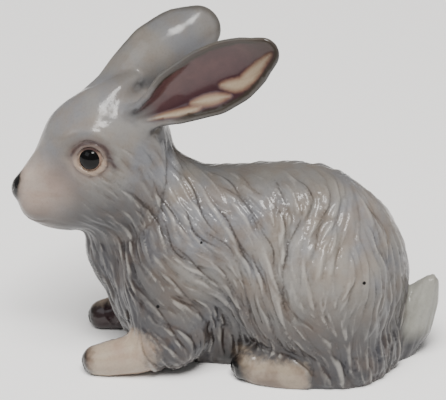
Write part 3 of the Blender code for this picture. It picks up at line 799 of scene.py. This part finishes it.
# Finer locks between the bold ones and short ones on the cheeks.
FINE_LOCKS = dict(seed=7, apart=7.5, length=(20, 44), depth=(0.9, 1.8), width=(2.2, 4.0), wave=0.3)
CHEEK_LOCKS = dict(seed=5, apart=4.2, length=(10, 20), depth=(1.0, 1.7), width=(1.5, 2.6), wave=0.2)
CHEEK_COAT = 0.7  # how strongly the strands show on the cheeks, and on the tail
TAIL_COAT = 0.8

# The dark laid in the cuts, partly real dark paint run into them and partly painted shade: how strong it is
# in each kind, how far it reaches on the groove's and on the bank's side over the stroke's width, and the
# depth from which it is full.
FINE_CUT_PAINT_AND_SHADE = 0.6
CHEEK_CUT_PAINT_AND_SHADE = 2.0
CREASE_PAINT_AND_SHADE = 0.25
CALM_CUT_PAINT_AND_SHADE = 0.6  # share of that dark, paint and painted shade, that the haunch goes without
CUT_PAINT_AND_SHADE_GROOVE = 0.22
CUT_PAINT_AND_SHADE_BANK = 0.09
CUT_PAINT_AND_SHADE_LEAST = 0.9  # it reaches at least so far from a cut
CUT_PAINT_AND_SHADE_REACH = 2.0
CUT_PAINT_AND_SHADE_FULL_DEPTH = 2.4
# How far round the painted shade of the valleys by the cuts is blurred.
VALLEY_SHADE_ROUNDS = 14
# How far round the level is taken that the crests, painted paler as a painted highlight, stand above.
RAISED_ROUNDS = 10

# Lobes of pale fur along the lower edge of each ear's hollow, on the ear laid flat: three points of the
# middle line, and the greatest half width.
LOBES = [
    ((0, -6), (20, -13.5), (36, -15), 5.2),
    ((31, -9), (45, -13.5), (58, -17), 4.6),
    ((56, -7), (70, -13), (88, -11.5), 5.2),
    ((70, -10), (84, -8.5), (99, -3), 4.6),
]
LOBE_RISE = 1.2

# The dark nose, its slit, and the dark toes: middle, stretch along each axis and radius.
NOSE_CAP = ((0, -57, -17.5), (1.0, 1.2, 1.35), 7.6)
NOSE_SLIT = [((1, -58, -25), 0.3), ((0, -56, -33), 0.3)]
TOE_CAPS = [((35, -106, 6), (1.5, 1.0, 1.6), 8), ((45, 0, 3), (1.6, 1.0, 1.3), 12)]

# Pinholes in the glaze: points (y, z) of the left flank.
PINHOLES = [(-48, 58), (5, 47), (94, 80), (-18, 105)]
PINHOLE_RADIUS = 0.6

# The eyes' balls, their pupils, and the dark line of the upper lid, from which a painted shadow spreads:
# points (towards the nose, up).
EYE_BALL = EYE_RADIUS + 0.25
PUPIL = 7.1
EYE_SUNK = 0.9  # how far the skin lies back under the eyes
LID_LINE = [(17, -5), (14.7, -1.5), (10.5, 8), (2, 11.8), (-8, 8.6), (-13.2, 1.6)]


def refined(mesh, centres, reach):
    """The mesh with its faces split once near the centres."""
    grid = bmesh.new()
    grid.from_mesh(mesh)
    places = [Vector(centre) for centre in centres]
    close = {vert for vert in grid.verts if min((vert.co - place).length for place in places) < reach}
    edges = [edge for edge in grid.edges if edge.verts[0] in close and edge.verts[1] in close]
    bmesh.ops.subdivide_edges(grid, edges=edges, cuts=1, use_grid_fill=True)
    grid.to_mesh(mesh)
    grid.free()


def eye_centres():
    at, matrix = head_frame()
    return [at + matrix @ eye_frame(side)[0] for side in (1, -1)]


def blurred(mesh, values, rounds):
    """A value of each vertex averaged with its neighbours."""
    ends, count = neighbours(mesh)
    for _ in range(rounds):
        values = (neighbour_sums(ends, values) + values) / (count + 1)
    return values


def steps_along(points, way, step):
    """The three points nearest to a step ahead of each point, and their shares."""
    tree = kdtree.KDTree(len(points))
    for index, point in enumerate(points):
        tree.insert(point, index)
    tree.balance()
    found = [tree.find_n(place, 3) for place in points + way * step]
    index = np.array([[hit[1] for hit in hits] for hits in found])
    share = 1 / (np.array([[hit[2] for hit in hits] for hits in found]) + 0.05) ** 2
    return index, share / share.sum(axis=1, keepdims=True)


def streaks(mesh, kind, ahead, behind):
    """Noise on the skin, drawn out along the lie of the coat, with a spread of one."""
    rng = np.random.default_rng(kind["seed"])
    values = blurred(mesh, rng.normal(size=len(mesh.vertices)), kind["rounds"])
    for _ in range(kind["streak"]):
        drawn = sum((values[index] * share).sum(axis=1) for index, share in (ahead, behind))
        values = values / 2 + drawn / 4
    values = values - blurred(mesh, values, LEVEL_ROUNDS)
    return values / values.std()


def cut_paint_and_shade_at(points, strokes):
    """How dark the cuts are at each point, from 0 to 1: partly real dark paint run into them, partly painted
    shade.
    """
    cut_paint_and_shade = np.zeros(len(points))
    for line, normals, depth, width in strokes:
        close, across, along = near_stroke(points, line, normals, width * CUT_PAINT_AND_SHADE_REACH)
        groove = max(width * CUT_PAINT_AND_SHADE_GROOVE, CUT_PAINT_AND_SHADE_LEAST)
        bank = max(width * CUT_PAINT_AND_SHADE_BANK, CUT_PAINT_AND_SHADE_LEAST / 2)
        spread = np.where(across > 0, groove, bank)
        mark = np.exp(-((across / spread) ** 2)) * faded(along) * min(depth / CUT_PAINT_AND_SHADE_FULL_DEPTH, 1)
        cut_paint_and_shade[close] = np.maximum(cut_paint_and_shade[close], mark)
    return cut_paint_and_shade


def ear_masks(points, shape):
    """The parts of the ear that are painted, each from 0 to 1: its hollow, lobes, rim, tip and edges."""
    u, flat, off_sheet, length = uncurled(points, shape)
    inside = ramp(off_sheet, 0.3, -1.2)
    beyond = beyond_outline(u, flat, shape, length)
    flat = flat * shape["upper"]
    near = near_ear(points, shape) & (beyond < 8)
    lobes = np.zeros(len(points))
    for *line, half in LOBES:
        swell = half * np.sin(np.linspace(0.12, 0.92, 9) * math.pi)
        lobe = tube(np.stack([u, flat], axis=1), list(zip(curve(line, 9), swell)))
        lobes = np.maximum(lobes, ramp(lobe, 2.0, -3.6))
    lobes *= ramp(beyond, 0.5, -2.5)
    return {
        "hollow": inside * near * ramp(beyond, 2.5, -0.5) * ramp(u, -6, 8),
        "lobe": inside * near * lobes,
        "rim": near * ramp(beyond, -6, 0.5) * ramp(u, 6, 24),
        "tip": near * ramp(u, length * 0.72, length * 1.0),
        "high": near * ramp(flat, -6, 10),
        "edge": near * inside * ramp(flat, -6, -16),
    }


def build_skin(collection):
    """The hare's fine skin with its attributes."""
    obj = smooth_skin(collection, FINE_VOXEL)
    at, matrix = head_frame()
    refined(obj.data, [*eye_centres(), at + matrix @ np.array(NOSE_TIP, float)], FINE_ZONE)
    points = settled(vertices(obj.data), 2)
    normal, _, _ = outward(points)
    way = lie(points, normal)
    ahead, behind = (steps_along(points, way, step) for step in (FLOW_STEP, -FLOW_STEP))
    strands = streaks(obj.data, STRANDS, ahead, behind)
    hairs = streaks(obj.data, HAIRS, ahead, behind)
    painted = zones(points, normal)
    amount = np.maximum(coat(points), CHEEK_COAT * painted.pop("whiskers"))
    amount = np.maximum(amount, TAIL_COAT * painted["tail"])
    bold = folds() + locks(BOLD_LOCKS)
    fine = locks(FINE_LOCKS)
    cheeks = on_cheeks(locks(CHEEK_LOCKS))
    height = carved(points, bold) + carved(points, fine) + carved(points, cheeks)
    crease = np.exp(-((strands / STRANDS["crease"]) ** 2))
    height -= STRANDS["depth"] * crease * amount
    height += STRANDS["crown"] * np.clip(np.abs(strands) - 0.8, -1, 1) * amount
    height += HAIRS["depth"] * np.clip(hairs, -2, 2) * np.sqrt(amount)
    masks = {}
    for shape in EARS.values():
        for name, mask in ear_masks(points, shape).items():
            masks[name] = np.maximum(masks.get(name, 0.0), mask)
    height += LOBE_RISE * masks["lobe"]
    height *= ramp(points[:, 2], 0, FOOT_CLEAR)
    height -= EYE_SUNK * ramp(painted["eye_gap"], 9.0, 8.0)
    # The dark in the cuts, partly real dark paint and partly painted shade, and round them a blurred painted
    # shade of the valleys.
    cut_paint_and_shade = np.maximum(cut_paint_and_shade_at(points, bold), FINE_CUT_PAINT_AND_SHADE * cut_paint_and_shade_at(points, fine))
    cut_paint_and_shade = np.maximum(cut_paint_and_shade, CHEEK_CUT_PAINT_AND_SHADE * cut_paint_and_shade_at(points, cheeks))
    cut_paint_and_shade = np.maximum(cut_paint_and_shade, CREASE_PAINT_AND_SHADE * crease * amount)
    masks["cut_paint_and_shade"] = cut_paint_and_shade * (1 - CALM_CUT_PAINT_AND_SHADE * painted.pop("calm"))
    masks["valley_shade"] = blurred(obj.data, masks["cut_paint_and_shade"], VALLEY_SHADE_ROUNDS)
    # How far each point stands above its neighbours, for the crests that are painted paler as a painted
    # highlight.
    masks["raised"] = height - blurred(obj.data, height, RAISED_ROUNDS)
    masks["hair"] = hairs
    masks.update(painted)
    put(obj.data, points + normal * height[:, None])
    for name, mask in masks.items():
        layer = obj.data.attributes.new(name, "FLOAT", "POINT")
        layer.data.foreach_set("value", mask.astype(np.float32))
    obj.data = lightened(obj, FINE_TRIANGLES)
    seated(obj.data)
    put(obj.data, vertices(obj.data) * TO_METRES)
    obj.data.shade_smooth()
    obj.name = obj.data.name = "hare_skin"
    return obj


def on_cheeks(strokes):
    """The strokes whose middle lies on a cheek."""
    middles = np.array([line[TRACE_STEPS // 2] for line, *_ in strokes])
    shares = zones(middles, outward(middles)[0])["whiskers"]
    return [stroke for stroke, share in zip(strokes, shares) if share > 0.25]


def off_cap(points, cap):
    """Distance, roughly, to a dark cap."""
    middle, stretch, radius = cap
    return np.linalg.norm((points - middle) / stretch, axis=1) - radius


def zones(points, normal):
    """The painted parts of the skin: weights from 0 to 1, and distances in millimetres."""
    x, y, z = points.T
    local = in_head(points)
    hx, hy, hz = local.T
    head = ramp(blended(local, HEAD), 10, 3)
    on_leg = ramp(off_forelegs(points), 9, 2) * ramp(y, -40, -64)
    inner = ramp(normal[:, 0] * np.sign(x), 0.1, -0.7)
    foot = ramp(z, 24, 15) * ramp(y, 62, 50) * ramp(y, 0, 6) * ramp(np.abs(x), 20, 30)
    eye_gap, lid_gap, eye_up = (np.full(len(points), far) for far in (50.0, 50.0, 0.0))
    lid_line = [(tuple(place), 0.0) for place in curve(LID_LINE)]
    for side in (1, -1):
        centre, axes = eye_frame(side)
        out, fore, up = ((local - centre) @ axes).T
        front = out > -2
        eye_up = np.where(front & (np.hypot(fore, up) < 40), up, eye_up)
        eye_gap = np.where(front, np.minimum(eye_gap, np.hypot(fore, up)), eye_gap)
        lid = tube(np.stack([fore, up], axis=1), lid_line)
        lid_gap = np.where(front, np.minimum(lid_gap, lid), lid_gap)
    slit = tube(np.stack([np.abs(hx), hy, hz], axis=1), NOSE_SLIT)
    folded = np.stack([np.abs(x), y, z], axis=1)
    # Of these, low, under, throat, jaw, cheek and stern mark where painted shade is laid, top where a
    # painted dark reflection lies along the back, and mauve the inner sides of the forelegs, whose dusky
    # colour is partly their own and partly painted shade.
    return {
        "snout": head * ramp(hy, -14, -36) * ramp(hz, 12, -4),
        "cheek": head * ramp(hz, -2, -26) * ramp(hy, -30, 6),
        "crown": ramp(z, 150, 200),
        "under": ramp(normal[:, 2], 0.45, -0.55),
        "throat": ramp(y, -26, -66) * ramp(z, 140, 118) * ramp(z, 22, 44) * (1 - head),
        "whiskers": head * ramp(hy, -18, 6) * ramp(hz, 26, 10) * ramp(hz, -46, -34) * ramp(eye_gap, 11, 17),
        "peach": head * np.exp(-(((hy + 24) / 12) ** 2) - ((hz + 8) / 14) ** 2),
        "calm": np.exp(-(((y - 80) / 36) ** 2) - ((z - 72) / 42) ** 2),
        "jaw": head * ramp(hz, -12, -36) * ramp(hy, -46, -14),
        "cream": np.maximum(on_leg * (1 - inner), foot),
        "foot": foot,
        "mauve": on_leg * inner,
        "tail": ramp(tube(points, TAIL), 7, 2) * ramp(z, 12, 26) * ramp(y, 122, 130),
        "top": ramp(z, 118, 140) * ramp(normal[:, 2], 0.35, 0.9) * (1 - head),
        "low": ramp(z, 78, 10) ** 0.8,
        "stern": ramp(y, 92, 132) * ramp(z, 130, 100),
        "eye_gap": eye_gap,
        "eye_up": eye_up,
        "lid_gap": lid_gap,
        "nose_gap": np.minimum(off_cap(local, NOSE_CAP), slit),
        "toe_gap": np.minimum(*(off_cap(folded, cap) for cap in TOE_CAPS)),
    }


def build_eye(collection, name, centre):
    """An eye as a ball in the skin's socket."""
    mesh = bpy.data.meshes.new(name)
    ball = bmesh.new()
    place = Matrix.Translation(Vector(centre * TO_METRES))
    radius = EYE_BALL * TO_METRES
    bmesh.ops.create_uvsphere(ball, u_segments=64, v_segments=40, radius=radius, matrix=place)
    ball.to_mesh(mesh)
    ball.free()
    mesh.shade_smooth()
    obj = bpy.data.objects.new(name, mesh)
    collection.objects.link(obj)
    return obj


def set_inputs(node, values):
    for name, value in values.items():
        node.inputs[name].default_value = value


class Painter:
    """A short way to write shader nodes: every method returns a socket."""

    def __init__(self, name):
        self.material = bpy.data.materials.new(name)
        self.material.use_nodes = True
        self.tree = self.material.node_tree
        self.shader = self.tree.nodes["Principled BSDF"]

    def node(self, kind, **settings):
        node = self.tree.nodes.new(kind)
        for name, value in settings.items():
            setattr(node, name, value)
        return node

    def feed(self, socket, value):
        if isinstance(value, bpy.types.NodeSocket):
            self.tree.links.new(value, socket)
        else:
            socket.default_value = value

    def mask(self, name):
        return self.node("ShaderNodeAttribute", attribute_name=name).outputs["Fac"]

    def sums(self, operation, a, b):
        node = self.node("ShaderNodeMath", operation=operation)
        self.feed(node.inputs[0], a)
        self.feed(node.inputs[1], b)
        return node.outputs[0]

    def ramp(self, value, zero, one):
        node = self.node("ShaderNodeMapRange", interpolation_type="SMOOTHSTEP", clamp=True)
        self.feed(node.inputs["Value"], value)
        set_inputs(node, {"From Min": zero, "From Max": one, "To Min": 0.0, "To Max": 1.0})
        return node.outputs["Result"]

    def place(self):
        return self.node("ShaderNodeTexCoord").outputs["Object"]

    def noise(self, size, detail=3.0, rough=0.55, shift=(0, 0, 0)):
        mapping = self.node("ShaderNodeMapping")
        self.feed(mapping.inputs["Vector"], self.place())
        mapping.inputs["Location"].default_value = shift
        node = self.node("ShaderNodeTexNoise")
        self.feed(node.inputs["Vector"], mapping.outputs[0])
        set_inputs(node, {"Scale": 1 / (size * TO_METRES), "Detail": detail, "Roughness": rough})
        return node.outputs["Fac"]

    def mix(self, share, a, b):
        node = self.node("ShaderNodeMix", data_type="RGBA", clamp_factor=True)
        for index, value in ((0, share), (6, a), (7, b)):
            self.feed(node.inputs[index], value)
        return node.outputs[2]

    def times(self, a, b):
        return self.sums("MULTIPLY", a, b)

    def plus(self, a, b):
        return self.sums("ADD", a, b)

    def part(self, name, share):
        """A share of a mask."""
        return self.times(self.mask(name), share)

    def tinted(self, colour, tints):
        """The colour with paints laid over it, each by a share of a mask."""
        for name, share, tint in tints:
            colour = self.mix(self.part(name, share), colour, tint)
        return colour


DIM = 0.6  # how much darker the paints are than they look, under the strong light


def linear(value):
    """A channel as it looks on screen, from 0 to 1, as the linear value that the shader takes."""
    return value / 12.92 if value < 0.04045 else ((value + 0.055) / 1.055) ** 2.4


def paint(*channels):
    return (*(linear(value / 255) * DIM for value in channels), 1.0)


GREY = paint(158, 154, 148)
COOL = paint(130, 134, 144)
WARM = paint(154, 138, 122)
# A paler grey laid on the crests of the relief as a painted highlight.
CREST_HIGHLIGHT = paint(214, 210, 202)
SHADE = paint(38, 38, 46)
# A dark grey laid along the top of the back as a painted dark reflection.
PAINTED_DARK_REFLECTION = paint(84, 82, 78)
# A dark brown for the cuts, partly real dark paint and partly painted shade, and for the fine grain.
BROWN = paint(50, 42, 38)
# A warm brown laid with the dark cool grey as painted shade in the valleys round the cuts.
WARM_VALLEY_SHADE = paint(96, 80, 70)
ROSY = paint(196, 182, 170)
BLUSH = paint(172, 140, 124)
# A mid grey laid as painted shade on the lower cheeks, and to darken the top of the head and ears.
CHEEK = paint(104, 104, 104)
CREAM = paint(188, 172, 152)
# A dusky mauve for the inner sides of the forelegs, partly their own colour and partly painted shade between
# the legs.
MAUVE = paint(58, 38, 42)
TAIL_PAINT = paint(186, 186, 176)
BLACK = paint(10, 9, 10)
SOOT = paint(46, 34, 30)
EAR_PINK = paint(106, 72, 72)
EAR_DARK = paint(60, 34, 40)
OLIVE = paint(48, 44, 34)
LOBE = paint(170, 152, 128)
LOBE_EDGE = paint(136, 104, 88)
EYE_CREAM = paint(178, 156, 138)
EYE_ROSE = paint(150, 122, 110)
# A dark purple-brown for the line of the upper lid and the painted shadow round it and over the top of the
# eye.
LID_LINE_AND_SHADOW = paint(58, 42, 44)

# The finish of the glaze, its fine bumps, and the finish of the eyes.
GLAZE = {
    "Roughness": 0.42,
    "Specular IOR Level": 0.12,
    "Coat Weight": 0.7,
    "Coat Roughness": 0.14,
    "Coat IOR": 1.5,
}
GLAZE_BUMP = {"Strength": 0.25, "Distance": 0.0004}
EYE_GLAZE = {"Roughness": 0.3, "Specular IOR Level": 0.0, "Coat Weight": 0.4, "Coat Roughness": 0.05}

# What is laid over the grey, in order: the mask, the share of it, and the paint. The masks low, stern and
# cheek lay
# painted shade: darker towards the bottom, on the rear end and on the lower cheeks. The mask top lays a
# painted dark reflection along the top of the back, crown darkens the top of the head and ears, and snout is
# the snout's rosy colour.
BODY_TINTS = [
    ("low", 0.88, SHADE),
    ("top", 0.5, PAINTED_DARK_REFLECTION),
    ("crown", 0.3, CHEEK),
    ("stern", 0.35, SHADE),
    ("cheek", 0.75, CHEEK),
    ("snout", 0.95, ROSY),
]
# Then, over the blush on the snout: the peach blush of the face, painted shade on the jaw, the undersides
# and the throat, and a dusky mauve on the inner sides of the forelegs, partly their own colour and partly
# painted shade between the legs.
BLUSH_AND_SHADE_TINTS = [
    ("peach", 0.5, BLUSH),
    ("jaw", 0.45, SHADE),
    ("under", 0.7, SHADE),
    ("throat", 0.84, SHADE),
    ("mauve", 1.0, MAUVE),
]


def glaze_paint():
    """The hand-coloured glaze of the skin, with painted shade, a painted dark reflection and a painted
    highlight laid into its colour.
    """
    p = Painter("glazed_coat")
    broad = p.ramp(p.noise(46, 2.0), 0.38, 0.62)
    patch = p.ramp(p.noise(17, 3.0, shift=(3, 1, 2)), 0.35, 0.68)
    grain = p.noise(1.6, 4.0, 0.6)
    speck = p.noise(4.5, 4.0, 0.6, shift=(1, 5, 2))
    loose = p.sums("SUBTRACT", speck, 0.5)
    colour = p.mix(p.times(broad, 0.7), GREY, COOL)
    colour = p.mix(p.times(patch, 0.5), colour, WARM)
    # Painted shade low down, on the rear and the lower cheeks, a painted dark reflection along the back, a
    # darker crown, and the rosy snout.
    colour = p.tinted(colour, BODY_TINTS)
    blush = p.times(p.mask("snout"), p.ramp(p.noise(19, 2.0, shift=(7, 2, 4)), 0.36, 0.7))
    colour = p.mix(p.times(blush, 0.4), colour, BLUSH)
    # The peach blush, painted shade on the jaw, undersides and throat, and the mauve of the inner forelegs,
    # partly painted shade.
    colour = p.tinted(colour, BLUSH_AND_SHADE_TINTS)
    cream = p.ramp(p.plus(p.mask("cream"), p.times(loose, 0.9)), 0.1, 1.0)
    colour = p.mix(cream, colour, CREAM)
    colour = p.mix(p.times(cream, p.times(patch, 0.5)), colour, BLUSH)
    colour = p.mix(p.times(p.mask("foot"), p.plus(0.2, p.times(patch, 0.35))), colour, SOOT)
    colour = p.mix(p.part("tail", 0.75), colour, TAIL_PAINT)
    # The hollows of the ears.
    hollow = p.mask("hollow")
    inside = p.mix(p.part("high", 0.8), EAR_DARK, EAR_PINK)
    inside = p.mix(p.times(patch, 0.5), inside, EAR_DARK)
    inside = p.mix(p.part("edge", 0.7), inside, EAR_DARK)
    inside = p.mix(p.times(p.ramp(p.mask("lobe"), 0.0, 0.5), 0.8), inside, LOBE_EDGE)
    inside = p.mix(p.ramp(p.mask("lobe"), 0.25, 1.0), inside, LOBE)
    colour = p.mix(hollow, colour, inside)
    rim = p.ramp(p.plus(p.mask("rim"), p.times(loose, 0.4)), 0.3, 0.95)
    rim = p.times(rim, p.plus(0.5, p.times(hollow, 0.45)))
    tip = p.times(p.times(p.mask("tip"), hollow), p.plus(0.5, p.part("high", 0.45)))
    colour = p.mix(p.sums("MAXIMUM", rim, tip), colour, OLIVE)
    # Painted shade in the valleys round the cuts; then the dark in the cuts and between the hairs, partly
    # real dark paint run into them and partly painted shade.
    valley_shade = p.ramp(p.plus(p.mask("valley_shade"), p.times(p.sums("SUBTRACT", patch, 0.5), 0.2)), 0.03, 0.42)
    colour = p.mix(p.times(valley_shade, 0.42), colour, p.mix(patch, SHADE, WARM_VALLEY_SHADE))
    hair = p.ramp(p.mask("hair"), -0.2, -2.2)
    cut_paint_and_shade = p.plus(p.mask("cut_paint_and_shade"), p.times(hair, 0.16))
    cut_paint_and_shade = p.ramp(p.plus(cut_paint_and_shade, p.times(loose, 0.5)), 0.2, 1.05)
    colour = p.mix(p.times(cut_paint_and_shade, 0.82), colour, BROWN)
    # The crests of the relief painted paler, a painted highlight.
    high = p.ramp(p.mask("raised"), 0.1, 1.1)
    colour = p.mix(p.times(high, 0.42), colour, CREST_HIGHLIGHT)
    colour = p.mix(p.times(p.ramp(grain, 0.45, 0.7), 0.1), colour, BROWN)
    # The eyes' surrounds, the nose and the toes.
    gap = p.mask("eye_gap")
    lower = p.ramp(p.mask("eye_up"), 5.0, -2.0)
    colour = p.mix(p.times(p.ramp(gap, 18, 11.5), 0.45), colour, EYE_ROSE)
    colour = p.mix(p.times(p.times(p.ramp(gap, 12.8, 11.4), lower), 0.85), colour, EYE_CREAM)
    # The dark line of the upper lid and the painted shadow that spreads from it.
    lid_gap = p.mask("lid_gap")
    lid = p.plus(p.times(p.ramp(lid_gap, 6.0, 0.5), 0.5), p.times(p.ramp(lid_gap, 1.8, 0.2), 0.35))
    colour = p.mix(lid, colour, LID_LINE_AND_SHADOW)
    nose = p.plus(p.mask("nose_gap"), p.times(loose, 1.5))
    colour = p.mix(p.times(p.ramp(nose, 5.0, 0.5), 0.35), colour, SOOT)
    colour = p.mix(p.ramp(nose, 1.8, -0.6), colour, BLACK)
    toe = p.plus(p.mask("toe_gap"), p.times(loose, 7.0))
    colour = p.mix(p.times(p.ramp(toe, 9.0, 0.5), 0.8), colour, SOOT)
    colour = p.mix(p.ramp(toe, 2.6, -2.0), colour, BLACK)
    colour = pinholes(p, colour)
    p.feed(p.shader.inputs["Base Color"], colour)
    set_inputs(p.shader, GLAZE)
    bump = p.node("ShaderNodeBump")
    set_inputs(bump, GLAZE_BUMP)
    p.feed(bump.inputs["Height"], p.plus(p.times(grain, 0.4), p.noise(6.0, 2.0)))
    for name in ("Normal", "Coat Normal"):
        p.feed(p.shader.inputs[name], bump.outputs[0])
    return p.material


def pinholes(p, colour):
    """The colour with small dark holes where the glaze has burst."""
    for y, z in PINHOLES:
        spot = touched([(FAR_OUT, y, z)], (-1, 0, 0))[0] * TO_METRES
        gap = p.node("ShaderNodeVectorMath", operation="DISTANCE")
        p.feed(gap.inputs[0], p.place())
        gap.inputs[1].default_value = tuple(spot)
        radius = PINHOLE_RADIUS * TO_METRES
        colour = p.mix(p.ramp(gap.outputs["Value"], radius * 2.4, radius * 1.6), colour, BLACK)
    return colour


def eye_paint(name, centre, axes):
    """A black pupil in a pale ring, with the painted shadow of the upper lid over its top, below a clear
    glaze.
    """
    p = Painter(name)
    off = p.node("ShaderNodeVectorMath", operation="SUBTRACT")
    p.feed(off.inputs[0], p.place())
    off.inputs[1].default_value = tuple(centre * TO_METRES)
    shares = []
    for axis in (0, 2):
        along = p.node("ShaderNodeVectorMath", operation="DOT_PRODUCT")
        p.feed(along.inputs[0], off.outputs[0])
        along.inputs[1].default_value = tuple(axes[:, axis] / (EYE_BALL * TO_METRES))
        shares.append(along.outputs["Value"])
    edge = math.sqrt(1 - (PUPIL / EYE_BALL) ** 2)
    pupil = p.ramp(shares[0], edge - 0.012, edge + 0.012)
    ring = p.mix(p.ramp(p.noise(5, 3.0), 0.35, 0.7), EYE_CREAM, EYE_ROSE)
    # The top of the ball darkened as the painted shadow of the upper lid.
    ring = p.mix(p.times(p.ramp(shares[1], 0.25, 0.72), 0.9), ring, LID_LINE_AND_SHADOW)
    p.feed(p.shader.inputs["Base Color"], p.mix(pupil, ring, BLACK))
    set_inputs(p.shader, EYE_GLAZE)
    return p.material


def build_hare():
    """The skin and the two eyes, which together stand for the one solid."""
    collection = bpy.data.collections.new("hare_figurine")
    bpy.context.scene.collection.children.link(collection)
    skin = build_skin(collection)
    skin.data.materials.append(glaze_paint())
    pieces = [skin]
    at, matrix = head_frame()
    for side, name in ((1, "eye_left"), (-1, "eye_right")):
        centre, axes = eye_frame(side)
        middle = at + matrix @ centre
        ball = build_eye(collection, name, middle)
        ball.data.materials.append(eye_paint(name, middle, matrix @ axes))
        pieces.append(ball)
    for piece in pieces:
        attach(piece, "root")
        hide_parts("hare")


# The studio: a pale floor, soft light, and the camera where the photograph was taken from.
CAMERA_TARGET = Vector((0, -0.0028, 0.118))
CAMERA_AZIMUTH, CAMERA_ELEVATION = 90.0, 24.0
CAMERA_DISTANCE = 1.3
SENSOR_WIDTH = 36
PHOTO_WIDTH = 446  # in pixels
PHOTO_SCALE = 1420  # pixels of the photograph in a metre at the hare
CAMERA_LENS = SENSOR_WIDTH * PHOTO_SCALE * CAMERA_DISTANCE / PHOTO_WIDTH
FLOOR_HALF = 3.0
FLOOR_FINISH = {"Base Color": (0.93, 0.93, 0.93, 1), "Roughness": 0.8, "Specular IOR Level": 0.2}
SKY = {"Color": (1.0, 0.985, 0.96, 1), "Strength": 0.3}
SUN_POWER = 4.5
SUN_COLOUR = (1.0, 0.975, 0.945)
SUN_SPREAD = 40
SUN_FROM = (80, 66)

# Lamps: name, azimuth, elevation, distance, size, power and colour.
AREA_LIGHTS = [
    ("key", 100, 58, 1.2, (0.36, 0.26), 7.0, (1.0, 0.98, 0.95)),
    ("fill", 40, 38, 1.6, (0.9, 0.7), 3.0, (0.93, 0.96, 1.0)),
]


def away(azimuth, elevation):
    """The direction from the hare to something at an azimuth and elevation in degrees."""
    a, e = math.radians(azimuth), math.radians(elevation)
    return Vector((math.sin(a) * math.cos(e), -math.cos(a) * math.cos(e), math.sin(e)))


def aimed(obj, place):
    obj.location = place
    obj.rotation_euler = (CAMERA_TARGET - place).to_track_quat("-Z", "Y").to_euler()
    bpy.context.scene.collection.objects.link(obj)


def area_light(name, azimuth, elevation, distance, size, power, colour):
    light = bpy.data.lights.new(name, "AREA")
    light.shape = "RECTANGLE"
    light.size, light.size_y = size
    light.energy = power
    light.color = colour
    aimed(bpy.data.objects.new(name, light), CAMERA_TARGET + away(azimuth, elevation) * distance)


def studio():
    mesh = bpy.data.meshes.new("floor")
    signs = ((-1, -1), (1, -1), (1, 1), (-1, 1))
    mesh.from_pydata([(x * FLOOR_HALF, y * FLOOR_HALF, 0) for x, y in signs], [], [(0, 1, 2, 3)])
    floor = bpy.data.objects.new("floor", mesh)
    bpy.context.scene.collection.objects.link(floor)
    pale = bpy.data.materials.new("pale_floor")
    pale.use_nodes = True
    set_inputs(pale.node_tree.nodes["Principled BSDF"], FLOOR_FINISH)
    mesh.materials.append(pale)
    world = bpy.data.worlds.new("studio")
    world.use_nodes = True
    set_inputs(world.node_tree.nodes["Background"], SKY)
    bpy.context.scene.world = world
    sun = bpy.data.lights.new("sun", "SUN")
    sun.energy = SUN_POWER
    sun.color = SUN_COLOUR
    sun.angle = math.radians(SUN_SPREAD)
    lamp = bpy.data.objects.new("sun", sun)
    lamp.visible_glossy = False
    aimed(lamp, CAMERA_TARGET + away(*SUN_FROM))
    for lamp_row in AREA_LIGHTS:
        area_light(*lamp_row)
    camera = bpy.data.cameras.new("camera")
    camera.sensor_width = SENSOR_WIDTH
    camera.lens = CAMERA_LENS
    obj = bpy.data.objects.new("camera", camera)
    aimed(obj, CAMERA_TARGET + away(CAMERA_AZIMUTH, CAMERA_ELEVATION) * CAMERA_DISTANCE)
    bpy.context.scene.camera = obj


build_hare()
studio()
